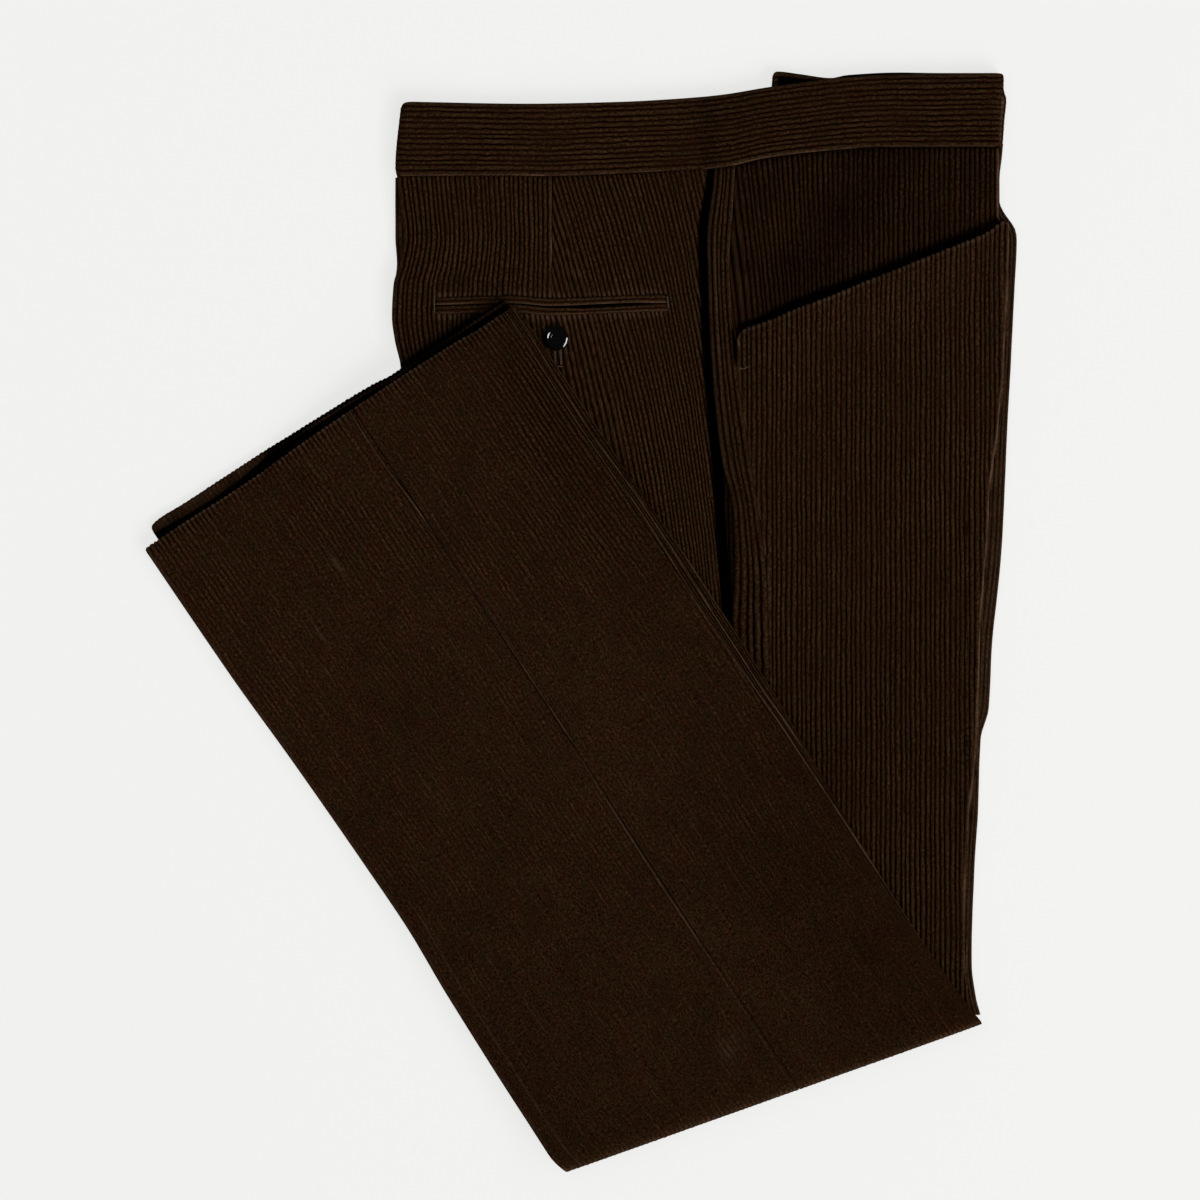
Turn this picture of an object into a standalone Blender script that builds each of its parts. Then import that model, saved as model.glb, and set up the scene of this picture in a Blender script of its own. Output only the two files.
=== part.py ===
"""Corduroy trousers laid on their side, legs together, and folded once at the knee.

+Z is up and the floor is z = 0. +Y runs up the garment to the waistband and +X towards the front
crease. "Near" is the side on top above the fold. Below the fold the far leg's outer side comes on
top. All sizes are in millimetres and become metres where a mesh is made.
"""

import bmesh
import bpy
import numpy as np
from mathutils import Matrix, Vector

MM = 0.001

# Cloth
WALE = 3.175             # eight wales to the inch
CLOTH = 1.6              # the wall between its wales
RIB = 0.5                # how far a wale stands above the wall
SEAM = 0.3               # between pieces at a seam
LOOSE = 0.5              # between a panel and the layers it lies on
LEG_LOOSE = 0.8          # the same on the lower leg, which bends more
COARSE = 8               # grid columns to one cell of the plain inside

# The laid layers
STACK_EDGE = 5.2         # the three hidden layers of the upper part, at its side edges
STACK_CROWN = 2.4        # how much higher they lie inside
SHIN_EDGE = 5.8          # the three hidden layers of the folded lower leg, at its side edges
SHIN_CROWN = 1.6
CROWN_WIDTH = 45.0       # from a side edge to the full crown
DRAPE = 90.0             # the lower leg comes down to the floor over this width beside the thigh
SIDE_STRIP = 6.0         # how far the far panels reach in under the near ones

# The upper part
WAIST_Y = 266.0          # waist seam at the centre back
BAND_STATIONS = (-70, -30, 0, 30, 60, 84, 98, 112, 116, 132, 150, 168, 186, 220)
BAND_SLANT = 2.8         # the near waistband's ends lean this far to the front at its top
DART_X = -17.0
DART_TIP_Y = 194.0
DART_WALES = 7           # wales that the dart takes out
DART_GAP = 0.5
WALE_LEAN = 0.28         # of the wales between the dart and the deep fold
FOLD_HEIGHT = 4.2        # of the deep fold beside the side seam
MOUTH_LIFT = 4.4         # how far the pocket mouth stands off its facing
MOUTH_TUCK = 12.0        # how far the facing reaches in under the mouth
MOUTH_ROWS = (0.0, 9.0, 20.0, 36.0)      # depths below the mouth at which its lift is shaped
TUCK = 14.0              # how far the upper panels reach in under the lower leg
OVERHANG = 18.0          # width of the slot that takes them
NEAR_END_Y = -227.0      # the near panels end here, where the leg goes round its knee fold
FAR_END_Y = -234.0       # the far front panel's strip ends here

# The folded lower leg, in its own frame: s runs down the leg and t across it, from the back crease
LEG_CORNER = np.array([-259.5, 40.2])
LEG_DOWN = np.array([0.548, -0.836])
LEG_ACROSS = np.array([0.836, 0.548])
OUTSEAM_T = 151.0
HEM_S = -3.0
HEM_CORE_S = 3.0         # the hidden layers stop short of the hem
NEAR_HEM_S = -11.5
NEAR_HEM_TUCK_S = 17.0
SLOT_S = 20.0            # inner end of the slot that takes the near hem and the upper panels
NEAR_HEM_HEIGHT = 3.6    # two layers
FOLD_SLANT = 0.2425      # the knee fold lies this much off square
FOLD_NORMAL = 0.972      # share of a step down the leg that is square to the knee fold
ROLL_END = -60.0         # the panels go round the knee fold to here, in degrees below level
KNEE_S = 480.0           # about where the leg's outlines meet the knee fold

# Back pocket and its button
POCKET_HALF_GAP = 0.5
WELT_UPPER_WIDTH = 3.9
WELT_LOWER_WIDTH = 5.4
WELT_THICKNESS = 1.2
BUTTON_PLACE = (-14.7, 169.2)
BUTTON_RADIUS = 7.6
BUTTON_HEIGHT = 2.6
BUTTON_HOLE_RADIUS = 0.9
BUTTON_HOLE_SPREAD = 1.7

BROWN = (0.038, 0.017, 0.007, 1.0)
BLACK = (0.006, 0.006, 0.007, 1.0)


# --- Curves and tables ---


def curve(*rows):
    """A smooth curve through (u, v) rows that never swings past them, as a function of u."""
    u, v = np.array(sorted(rows)).T
    step = np.diff(u)
    slope = np.diff(v) / step
    tangent = np.zeros_like(v)
    tangent[0] = slope[0]
    tangent[-1] = slope[-1]
    same_way = slope[:-1] * slope[1:] > 0
    mean = 2 * slope[:-1] * slope[1:] / np.where(same_way, slope[:-1] + slope[1:], 1)
    tangent[1:-1] = np.where(same_way, mean, 0)

    def value(at):
        at = np.clip(at, u[0], u[-1])
        i = np.clip(np.searchsorted(u, at, side="right") - 1, 0, len(step) - 1)
        w = (at - u[i]) / step[i]
        return (
            v[i] * (1 + 2 * w) * (1 - w) ** 2
            + v[i + 1] * (3 - 2 * w) * w**2
            + step[i] * w * (1 - w) * ((1 - w) * tangent[i] - w * tangent[i + 1])
        )

    return value


def ramp(low, high, at):
    """0 below low, 1 above high, and smooth between."""
    w = np.clip((at - low) / (high - low), 0, 1)
    return w * w * (3 - 2 * w)


def lerp(a, b, w):
    return a + (b - a) * w


# Outlines of the upper part: (y, x) down its sides
CENTRE_BACK = curve((266, -110), (252, -108.3), (230, -106), (214, -108.6), (202, -112),
                    (183, -113), (169, -111.3), (151, -107.7), (103, -109), (13, -99.5),
                    (-107, -75.5), (-227, -42.5), (-329, -7.5))
FAR_BACK = curve((266, -110.8), (230, -110.8), (214, -109.8), (200, -111.6), (183, -112.6),
                 (169, -110.9), (151, -107.5), (120, -107.9))
SIDE_SEAM = curve((272, 92.7), (240, 90.8), (216, 89.2), (175, 91.5), (151, 94), (93, 102.5),
                  (64, 107), (19, 112.4), (-37, 113.8), (-70, 114))
DEEP_FOLD = curve((270, 79.8), (264, 79), (229, 74.7), (193, 76.3), (153, 78.9), (109, 83.5),
                  (64, 90), (30, 91.5), (0, 89), (-40, 90))
CREASE = curve((284, 251.2), (242, 251.2), (236, 257.6), (209, 256.6), (175, 255.4),
               (140, 253), (109, 250), (79, 246), (42, 243.8), (8, 241), (-47, 238.7),
               (-78, 237.6), (-125, 232.6), (-182, 230.9), (-205, 231.4), (-232, 235))
FAR_CREASE = curve((272, 255), (246, 256.2), (238, 259.6), (230, 261.3), (191, 259.6),
                   (109, 255.4), (43, 252.3), (-15, 246.5), (-52, 244.6), (-71, 239.6),
                   (-113, 238.2), (-147, 236), (-205, 234.3), (-226, 236.4), (-236, 238.5))

# Outlines of the upper part: (x, y) across it
WAIST_SEAM = curve((-113, 266), (-20, 266), (42, 268.4), (84, 271), (111, 276.8),
                   (148, 281.2), (184, 283.4), (262, 283.6))
BAND_TOP = curve((-109, 311), (-30, 309.7), (24, 310.8), (60, 312.8), (84, 315), (114, 319.8),
                 (155, 325), (184, 327), (255, 328))
POCKET_MOUTH = curve((92.6, 158), (94, 171), (97, 176), (111, 181.4), (129, 188), (148, 194.8),
                     (184, 209.4), (204, 217.4), (225, 226.4), (243, 234), (254, 241.2),
                     (259, 238))
POCKET_LIP = curve((-87, 189.2), (-40, 190.2), (-18, 188.6), (15, 189.9), (52, 191.2))

# Outlines of the folded lower leg: (s, t) down its sides
BACK_CREASE_T = curve((-12, 0), (87, 1.7), (151, 4.5), (228, 6.8), (269, 7.6), (322, 5.5),
                      (400, 4.4), (432, 4.4), (450, 8))
FRONT_CREASE_T = curve((-12, 264.2), (24, 266.6), (106, 267), (202, 269), (269, 268.4),
                       (319, 266), (366, 262.8), (445, 261), (510, 263.9))


def leg_point(s, t):
    """Plan place of a point s down the lower leg and t across it."""
    return (
        LEG_CORNER[0] + s * LEG_DOWN[0] + t * LEG_ACROSS[0],
        LEG_CORNER[1] + s * LEG_DOWN[1] + t * LEG_ACROSS[1],
    )


def leg_place(x, y):
    """The s and t of a plan point."""
    dx, dy = x - LEG_CORNER[0], y - LEG_CORNER[1]
    return dx * LEG_DOWN[0] + dy * LEG_DOWN[1], dx * LEG_ACROSS[0] + dy * LEG_ACROSS[1]


def knee_fold_s(t):
    """How far down the leg its knee fold lies, at t across."""
    return 447.3 + FOLD_SLANT * (t - 8)


def under_leg(x, y):
    """Where the lower leg lies over the upper part by more than TUCK."""
    s, t = leg_place(x, y)
    return (s > SLOT_S - 4) & (t < FRONT_CREASE_T(s) - TUCK)


# --- Heights ---


def crown(inward, height):
    """How much a laid stack rises at this distance in from its side edge."""
    return height * np.interp(inward, (0, 4, 12, 25, CROWN_WIDTH), (0, 0.25, 0.5, 0.8, 1))


def stack_top(x, y):
    """Top of the hidden layers of the upper part."""
    inward = np.minimum(x - CENTRE_BACK(y), CREASE(y) - x)
    return STACK_EDGE + crown(inward, STACK_CROWN)


def fold_relief(x, y):
    """The deep fold: steep on its left, easing down to the side seam on its right."""
    along = FOLD_HEIGHT * ramp(12, 70, y) * ramp(0, 30, WAIST_SEAM(x) - y + 4)
    across = x - DEEP_FOLD(y)
    width = SIDE_SEAM(y) - DEEP_FOLD(y)
    return along * ramp(-3.5, 3, across) * (1 - ramp(0.25, 1.0, across / width))


def mouth_relief(x, y):
    """The pocket mouth stands off its facing, but not at its sewn ends."""
    inward = POCKET_MOUTH(x) - y
    return MOUTH_LIFT * ramp(94, 112, x) * (1 - ramp(0, MOUTH_ROWS[-1], inward))


def upper_panel(x, y):
    """Underside of the near panels, where they lie on the hidden layers."""
    return stack_top(x, y) + LOOSE


def under_shin(x, y):
    """Top of what the folded lower leg lies on: the thigh, and the floor beside it."""
    beside = x - CENTRE_BACK(y)
    thigh = STACK_EDGE + LOOSE + CLOTH + RIB
    welts = (WELT_THICKNESS + SEAM + RIB) * (1 - ramp(8, 60, np.abs(y - 190)))
    inward = np.minimum(beside, CREASE(y) - x)
    return (thigh + welts) * ramp(-DRAPE, -2, beside) + crown(np.maximum(inward, 0), STACK_CROWN)


def shin_stack(s, t):
    """Top of the hidden layers of the lower leg."""
    inward = np.minimum(t - BACK_CREASE_T(s), FRONT_CREASE_T(s) - t)
    return under_shin(*leg_point(s, t)) + SHIN_EDGE + crown(np.maximum(inward, 0), SHIN_CROWN)


# --- Meshes ---


def material(name, colour, roughness):
    made = bpy.data.materials.new(name)
    made.use_nodes = True
    shader = made.node_tree.nodes["Principled BSDF"]
    shader.inputs["Base Color"].default_value = colour
    shader.inputs["Roughness"].default_value = roughness
    shader.inputs["Metallic"].default_value = 0.0
    return made


def object_of(name, points, faces, colour=BROWN, roughness=0.95):
    """One closed mesh from points in millimetres."""
    mesh = bpy.data.meshes.new(name)
    mesh.from_pydata((np.asarray(points) * MM).tolist(), [], faces)
    made = bpy.data.objects.new(name, mesh)
    bpy.context.collection.objects.link(made)
    work = bmesh.new()
    work.from_mesh(mesh)
    bmesh.ops.recalc_face_normals(work, faces=work.faces)
    work.to_mesh(mesh)
    work.free()
    mesh.materials.append(material(name + "_finish", colour, roughness))
    return made


def cells(rows, columns, first):
    """Quads of a grid whose points are numbered from first."""
    number = first + np.arange(rows * columns).reshape(rows, columns)
    quads = np.stack([number[:-1, :-1], number[:-1, 1:], number[1:, 1:], number[1:, :-1]], 2)
    return number, quads.reshape(-1, 4).tolist()


def cloth_wall(name, outer, inner, keep=()):
    """A wall between two grids of points: every column outside, a few columns inside.

    The plain inside has one cell for each COARSE columns. Its first and last rows still take
    every point of the border, so that the wall closes. Columns in keep are kept inside too.
    """
    rows, columns = outer.shape[:2]
    outside, faces = cells(rows, columns, 0)
    inside, _ = cells(rows, columns, outside.size)
    chosen = sorted({*range(0, columns - 1, COARSE), columns - 1, *keep})
    for left, right in zip(chosen[:-1], chosen[1:]):
        for row in range(rows - 1):
            above = inside[row, left:right + 1] if row == 0 else inside[row, [left, right]]
            last = row == rows - 2
            below = inside[row + 1, left:right + 1] if last else inside[row + 1, [left, right]]
            faces.append([*above[::-1].tolist(), *below.tolist()])
    ring = [
        *[(0, c) for c in range(columns - 1)],
        *[(r, columns - 1) for r in range(rows - 1)],
        *[(rows - 1, c) for c in range(columns - 1, 0, -1)],
        *[(r, 0) for r in range(rows - 1, 0, -1)],
    ]
    for here, there in zip(ring, ring[1:] + ring[:1]):
        faces.append([int(outside[here]), int(outside[there]),
                      int(inside[there]), int(inside[here])])
    points = np.concatenate([outer.reshape(-1, 3), inner.reshape(-1, 3)])
    used = np.unique(np.concatenate([np.array(face) for face in faces]))
    number = np.full(len(points), -1)
    number[used] = np.arange(len(used))
    faces = [[int(number[i]) for i in face] for face in faces]
    return object_of(name, points[used], faces)


def wales(columns):
    """1 on a wale and 0 between two, for each grid column."""
    return np.arange(columns) % 2.0


def laid_panel(name, x, y, underside, keep=()):
    """A ribbed wall over a plan grid, on a height function."""
    low = underside(x, y)
    outer = np.stack([x, y, low + CLOTH + RIB * wales(x.shape[1])], 2)
    return cloth_wall(name, outer, np.stack([x, y, low], 2), keep)


def section_loft(name, sections, paired_caps=False):
    """A solid through closed sections with the same number of points, capped at its ends.

    Paired caps join each point to its partner below, for ends that aren't flat.
    """
    count = sections.shape[1]
    faces = []
    for row in range(len(sections) - 1):
        for i in range(count):
            j = (i + 1) % count
            here, there = row * count, (row + 1) * count
            faces.append([here + i, here + j, there + j, there + i])
    for first in (0, (len(sections) - 1) * count):
        if paired_caps:
            faces += [[first + i, first + i + 1, first + count - 2 - i, first + count - 1 - i]
                      for i in range(count // 2 - 1)]
        else:
            faces.append([first + i for i in range(count)])
    return object_of(name, sections.reshape(-1, 3), faces)


def even_lines(width):
    """Number of grid columns that give a width its wales, with a valley at both edges."""
    return 2 * max(1, round(width / WALE)) + 1


def run_down(x_at, start_y, stop, rows, first_rows=(0.0,)):
    """Grid of columns that each start at start_y and run down the garment until stop(x, y).

    The first rows lie at these depths below the start, closer on a short column, and the others
    share the rest of its length.
    """
    reach = start_y[None, :] - np.arange(0.5, 520, 0.5)[:, None]
    stopped = stop(x_at(reach), reach)
    length = start_y - np.take_along_axis(reach, stopped.argmax(0)[None, :], 0)[0]
    near = np.array(first_rows)[:, None]
    near = near * np.minimum(1, 0.6 * length / max(near[-1, 0], 1))
    rest = lerp(near[-1], length, np.linspace(0, 1, rows)[1:, None])
    y = start_y - np.concatenate([near, rest])
    return x_at(y), y


# --- Upper part ---


def back_panel_near():
    """From the centre back to the side seam, with the dart's slit and the deep fold."""
    rows = 7
    seat = even_lines(DART_X - CENTRE_BACK(WAIST_Y))
    across_seat = np.linspace(0, 1, seat)
    dart = 2 * DART_WALES
    hip = even_lines(SIDE_SEAM(WAIST_Y) - DART_X) - 1
    dart_y = np.linspace(DART_TIP_Y, WAIST_Y - SEAM / 2, dart + 1)
    opening = DART_GAP * (dart_y - DART_TIP_Y + 4) / (WAIST_Y - DART_TIP_Y)
    hip_x = np.linspace(DART_X + DART_GAP, SIDE_SEAM(WAIST_Y) - SEAM / 2, hip + 1)[1:]
    right_x = np.concatenate([DART_X + opening, hip_x])
    right_y = np.concatenate([dart_y, WAIST_SEAM(hip_x) - SEAM / 2])
    start_y = np.concatenate([WAIST_SEAM(lerp(-110, DART_X, across_seat)) - SEAM / 2, right_y])
    side_start = SIDE_SEAM(right_y) - SEAM / 2
    share = (right_x - DART_X) / (side_start - DART_X)

    def x_at(y):
        left = lerp(CENTRE_BACK(y[:, :seat]), DART_X, across_seat)
        down = right_y - y[:, seat:]
        side = SIDE_SEAM(y[:, seat:]) - SEAM / 2
        leaning = right_x + WALE_LEAN * down * ramp(0, 3 * WALE, right_x - DART_X + 4)
        parallel = lerp(DART_X, side, share)
        return np.concatenate([left, lerp(np.minimum(leaning, parallel), parallel, share)], 1)

    x, y = run_down(x_at, start_y, under_leg, rows)
    laid_panel("back_panel_near", x, y, lambda x, y: upper_panel(x, y) + fold_relief(x, y),
               keep=(seat - 1, seat, seat + dart))


def pocket_facing_near():
    """The facing between the waist seam and the pocket mouth, which it reaches in under."""
    left = SIDE_SEAM(WAIST_Y) + SEAM / 2
    right = CREASE(270)
    x = np.linspace(left, right, even_lines(right - left))
    top = WAIST_SEAM(x) - SEAM / 2
    tuck = lerp(-SEAM, MOUTH_TUCK, ramp(112, 132, x))
    bottom = np.maximum(POCKET_MOUTH(x) - tuck, 174)
    y = lerp(top, bottom, np.linspace(0, 1, 4)[:, None])
    x = np.broadcast_to(x, y.shape)
    x = np.maximum(x, SIDE_SEAM(y) + SEAM / 2 + (x - left) * 0.5)
    laid_panel("pocket_facing_near", x, y, upper_panel)


def front_panel_near():
    """From the pocket mouth down; its wales run out on the side seam and the front crease."""
    left = 93.4
    right = 256.8
    x = np.linspace(left, right, even_lines(right - left))
    start_y = POCKET_MOUTH(x)

    def stop(x, y):
        off_side = x < SIDE_SEAM(y) + SEAM / 2
        off_crease = x > CREASE(y)
        return under_leg(x, y) | ((off_side | off_crease) & (y < start_y - 3)) | (y < NEAR_END_Y)

    x, y = run_down(lambda y: np.broadcast_to(x, y.shape), start_y, stop, 5, MOUTH_ROWS)
    laid_panel("front_panel_near", x, y,
               lambda x, y: upper_panel(x, y) + mouth_relief(x, y))


def side_strip(name, outline, near_edge, inward, top_y, bottom_y, rows):
    """A far panel where it shows outside the near one: two layers, folded round at its edge.

    It reaches in under the near panel, but not at the knee, where that panel goes round the fold.
    """
    columns = 2 * 3 + 1
    y = lerp(top_y, bottom_y, np.linspace(0, 1, rows))[:, None]
    across = np.linspace(0, 1, columns)
    hidden = near_edge(y) + inward * SIDE_STRIP * ramp(FAR_END_Y - 2, FAR_END_Y + 5.5, y)
    x = lerp(hidden, outline(y), across)
    y = np.broadcast_to(y, x.shape)
    top = lerp(STACK_EDGE - LOOSE - 0.4, 3.0, across**3) + RIB * wales(columns)
    outer = np.stack([x, y, np.broadcast_to(top, x.shape)], 2)
    inner = np.stack([x, y, np.zeros_like(x)], 2)
    inner[:, -1, 0] = hidden[:, 0] + (x[:, -1] - hidden[:, 0]) * 0.9
    cloth_wall(name, outer, inner)


def waistbands():
    """Two bands of doubled cloth, one on the other, with their wales along them."""
    lines = even_lines(43)
    across = np.linspace(0, 1, lines)[None, :]

    def band(name, left, right, slant, top_of, low, thickness):
        x = np.array([left, *BAND_STATIONS, right])[:, None] + slant * across
        y = lerp(WAIST_SEAM(x) + SEAM / 2, top_of(x), across)
        outer = np.stack([x, y, np.full_like(x, low + thickness) + RIB * wales(lines)], 2)
        cloth_wall(name, outer, np.stack([x, y, np.full_like(x, low)], 2))

    far_low, far_thickness = 0.0, 5.4
    near_low = far_thickness + RIB + SEAM

    def far_top(x):
        showing = np.interp(x, (114.9, 116.7, 131.7, 156.3, 211, 252),
                            (319.8, 329.2, 327.6, 325.6, 327.4, 328.2))
        return np.where(x < 114.9, BAND_TOP(x) - 1.5, showing)

    band("waistband_far", -106.5, 255.2, 0.0, far_top, far_low, far_thickness)
    band("waistband_near", -110.6, 251.3, BAND_SLANT, BAND_TOP, near_low, 3.0)


def back_pocket():
    """Two welts along the lip, and the button that closes it."""
    def welt(name, low, high, lines):
        x = np.linspace(-87, 52, 9)[:, None]
        y = POCKET_LIP(x) + np.linspace(low, high, lines)[None, :]
        x = np.broadcast_to(x, y.shape)
        inner = np.stack([x, y, upper_panel(x, y) + CLOTH + RIB + SEAM], 2)
        outer = inner.copy()
        outer[:, :, 2] += WELT_THICKNESS * np.where(wales(lines) > 0, 1.0, 0.7)
        cloth_wall(name, outer, inner)

    welt("back_pocket_welt_upper", POCKET_HALF_GAP, POCKET_HALF_GAP + WELT_UPPER_WIDTH, 3)
    welt("back_pocket_welt_lower", -POCKET_HALF_GAP - WELT_LOWER_WIDTH, -POCKET_HALF_GAP, 5)


def button():
    """A dished disc with a raised rim and four holes."""
    # radius as a share of the whole, height as a share of the whole
    profile = ((0.0, 0.0), (0.75, 0.0), (0.96, 0.3), (1.0, 0.62), (0.93, 0.93), (0.84, 1.0),
               (0.72, 0.93), (0.62, 0.66), (0.0, 0.6))
    x, y = BUTTON_PLACE
    low = upper_panel(x, y) + CLOTH + RIB + SEAM
    work = bmesh.new()
    ends = [work.verts.new((r * BUTTON_RADIUS * MM, 0, h * BUTTON_HEIGHT * MM))
            for r, h in profile]
    edges = [work.edges.new(pair) for pair in zip(ends[:-1], ends[1:])]
    bmesh.ops.spin(work, geom=ends + edges, cent=(0, 0, 0), axis=(0, 0, 1),
                   angle=np.radians(360), steps=32)
    bmesh.ops.remove_doubles(work, verts=work.verts, dist=0.00001)
    bmesh.ops.recalc_face_normals(work, faces=work.faces)
    mesh = bpy.data.meshes.new("back_pocket_button")
    work.to_mesh(mesh)
    work.free()
    made = bpy.data.objects.new("back_pocket_button", mesh)
    made.location = Vector((x, y, float(low))) * MM
    bpy.context.collection.objects.link(made)
    mesh.materials.append(material("button_finish", BLACK, 0.15))
    drill = bmesh.new()
    for step_x in (-1, 1):
        for step_y in (-1, 1):
            place = Vector((step_x, step_y, 0)) * BUTTON_HOLE_SPREAD * MM
            place.z = BUTTON_HEIGHT * MM / 2
            bmesh.ops.create_cone(
                drill, cap_ends=True, segments=12, radius1=BUTTON_HOLE_RADIUS * MM,
                radius2=BUTTON_HOLE_RADIUS * MM, depth=3 * BUTTON_HEIGHT * MM,
                matrix=Matrix.Translation(place))
    cutter = object_from(drill, "button_holes", made.location)
    cut = made.modifiers.new("holes", "BOOLEAN")
    cut.operation = "DIFFERENCE"
    cut.solver = "EXACT"
    cut.object = cutter


def object_from(work, name, location):
    """A cutter: an object that only a Boolean uses."""
    mesh = bpy.data.meshes.new(name)
    work.to_mesh(mesh)
    work.free()
    made = bpy.data.objects.new(name, mesh)
    made.location = location
    made.hide_render = True
    made.display_type = "WIRE"
    bpy.context.collection.objects.link(made)
    return made


# --- Folded lower leg ---

ROLL_ANGLES = np.radians([60.0, 30.0, 0.0, -30.0, ROLL_END])
LEG_STATIONS = np.array([0, 0.12, 0.24, 0.36, 0.48, 0.6, 0.72, 0.85, 0.985, 1])


def leg_face(s, t):
    """Height of the panels' wall between its wales."""
    return shin_stack(s, t) + LEG_LOOSE + CLOTH


def round_the_knee(columns_at, inset):
    """Rows of points (s, t, z) from the slot down the leg and round its knee fold.

    columns_at gives every column's t for rows of s. The points lie inset below the panels' face.
    """
    count = columns_at(np.zeros((1, 1))).shape[1]
    fold_t = columns_at(np.full((1, count), KNEE_S))
    fold_s = knee_fold_s(fold_t)
    radius = leg_face(fold_s - 10, fold_t) / 2
    stations = LEG_STATIONS[:, None]
    s = lerp(SLOT_S, fold_s - radius / FOLD_NORMAL, stations)
    t = lerp(columns_at(s), fold_t, ramp(0.85, 1.0, stations))
    z = lerp(leg_face(s, t), 2 * radius, ramp(0.8, 1.0, stations)) - inset
    angle = ROLL_ANGLES[:, None]
    round_s = fold_s - (radius - (radius - inset) * np.cos(angle)) / FOLD_NORMAL
    round_z = radius + (radius - inset) * np.sin(angle)
    round_t = np.broadcast_to(fold_t, round_s.shape)
    return np.concatenate([s, round_s]), np.concatenate([t, round_t]), np.concatenate([z, round_z])


def lower_leg_panel(name, left, right):
    """One half of the far lower leg, from its hem to round the knee fold."""
    columns = even_lines(right(100.0) - left(100.0))
    across = np.linspace(0, 1, columns)

    def columns_at(s):
        return lerp(left(s), right(s), across)

    def grid(rib, inset):
        s, t, z = round_the_knee(columns_at, inset - rib * wales(columns))
        hem_s = np.full((1, columns), HEM_S)
        hem_t = columns_at(hem_s)
        hem_z = leg_face(hem_s, hem_t) - inset + rib * wales(columns)
        x, y = leg_point(np.concatenate([hem_s, s]), np.concatenate([hem_t, t]))
        return np.stack([x, y, np.concatenate([hem_z, z])], 2)

    cloth_wall(name, grid(RIB, 0.0), grid(0.0, CLOTH))


def lower_leg_panels():
    lower_leg_panel("lower_leg_back_far", BACK_CREASE_T, lambda s: OUTSEAM_T - SEAM / 2 + 0 * s)
    lower_leg_panel("lower_leg_front_far", lambda s: OUTSEAM_T + SEAM / 2 + 0 * s,
                    FRONT_CREASE_T)


def lower_leg_hem_near():
    """The near leg's hem: two layers that lie on the thigh and on the floor beside it."""
    left, right = 10.5, 262.0
    t = np.linspace(left, right, even_lines(right - left))[None, :]
    s = np.array([NEAR_HEM_S, NEAR_HEM_TUCK_S])[:, None]
    s, t = np.broadcast_arrays(s, t)
    x, y = leg_point(s, t)
    low = under_shin(x, y) + SEAM * ramp(0, 4, under_shin(x, y))
    outer = np.stack([x, y, low + NEAR_HEM_HEIGHT + RIB * wales(t.shape[1])], 2)
    cloth_wall("lower_leg_hem_near", outer, np.stack([x, y, low], 2))


# --- Hidden layers ---


def thigh_layers():
    """The hidden layers of the upper part, from the waist seam into the knee fold."""
    # height up the garment at the back and at the front, and the room for a far panel's strip
    stations = ((264, 281, 1), (236, 250, 1), (206, 215, 1), (178, 182, 1), (150, 150, 1),
                (128, 120, 1), (126, 118, 0), (80, 70, 0), (20, 0, 0), (-60, -70, 0),
                (-150, -140, 0), (-230, -190, 0), (-300, -217, 0))
    front_strip = SIDE_STRIP + 1.6
    back_strip = SIDE_STRIP + 2.5
    steps = (12, 25, CROWN_WIDTH)
    sections = []
    for back_y, front_y, room in stations:
        left = float(CENTRE_BACK(back_y)) + (back_strip if room else 0.8)
        right = float(CREASE(front_y)) - front_strip
        from_left = [left] + [float(CENTRE_BACK(back_y)) + step for step in steps]
        from_right = [float(CREASE(front_y)) - step for step in steps[::-1]] + [right]
        middle = np.linspace(from_left[-1], from_right[0], 9)[1:-1]
        x = np.concatenate([from_left, middle, from_right])
        share = (x - left) / (right - left)
        y = lerp(back_y, front_y, share)
        if back_y == stations[0][0]:
            y = WAIST_SEAM(x) - 2.5
        top = np.stack([x, y, stack_top(x, y)], 1)
        bottom = top[::-1].copy()
        bottom[:, 2] = 0
        sections.append(np.concatenate([top, bottom]))
    return section_loft("hidden_layers", np.array(sections), paired_caps=True)


def lower_leg_layers():
    """The hidden layers of the lower leg, with the slot that takes the near hem and panels."""
    steps = np.array([0.0, 4, 12, 25, CROWN_WIDTH])
    inset = 1.0
    middle = np.linspace(CROWN_WIDTH, 264 - CROWN_WIDTH, 13)[1:-1]
    count = 2 * len(steps) + len(middle)

    def columns_at(s):
        """Columns at the same steps in from both creases, and fixed ones between."""
        s = np.broadcast_to(s, (len(s), count))
        left = BACK_CREASE_T(s[:, :len(steps)]) + inset + steps
        right = FRONT_CREASE_T(s[:, -len(steps):]) - inset - steps[::-1]
        between = np.broadcast_to(middle, (len(s), len(middle)))
        return np.concatenate([left, between, right], 1)

    s, t, z = round_the_knee(columns_at, CLOTH + LEG_LOOSE)
    rows = []
    for hem_s in (HEM_CORE_S, SLOT_S - 0.2):
        row_s = np.full((1, count), hem_s)
        row_t = columns_at(row_s)
        roof = slot_roof(row_s, row_t, over_hem=True)
        rows.append((row_s[0], row_t[0], shin_stack(row_s, row_t)[0], row_s[0], roof[0], True))
    flat_rows = len(LEG_STATIONS)
    end_s = s[-1] - 0.4
    for row in range(len(s)):
        gone_round = max(0, row - flat_rows + 1) / (len(s) - flat_rows + 1)
        bottom_s = lerp(s[min(row, flat_rows - 1)], end_s, gone_round)
        roof = slot_roof(bottom_s, t[row], over_hem=False)
        rows.append((s[row], t[row], z[row], bottom_s, roof, row < flat_rows - 1))
    rows.append((s[-1], t[-1], np.full(count, 0.5), end_s, np.zeros(count), False))
    return section_loft("lower_leg_layers", np.array([leg_section(*row) for row in rows]))


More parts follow.
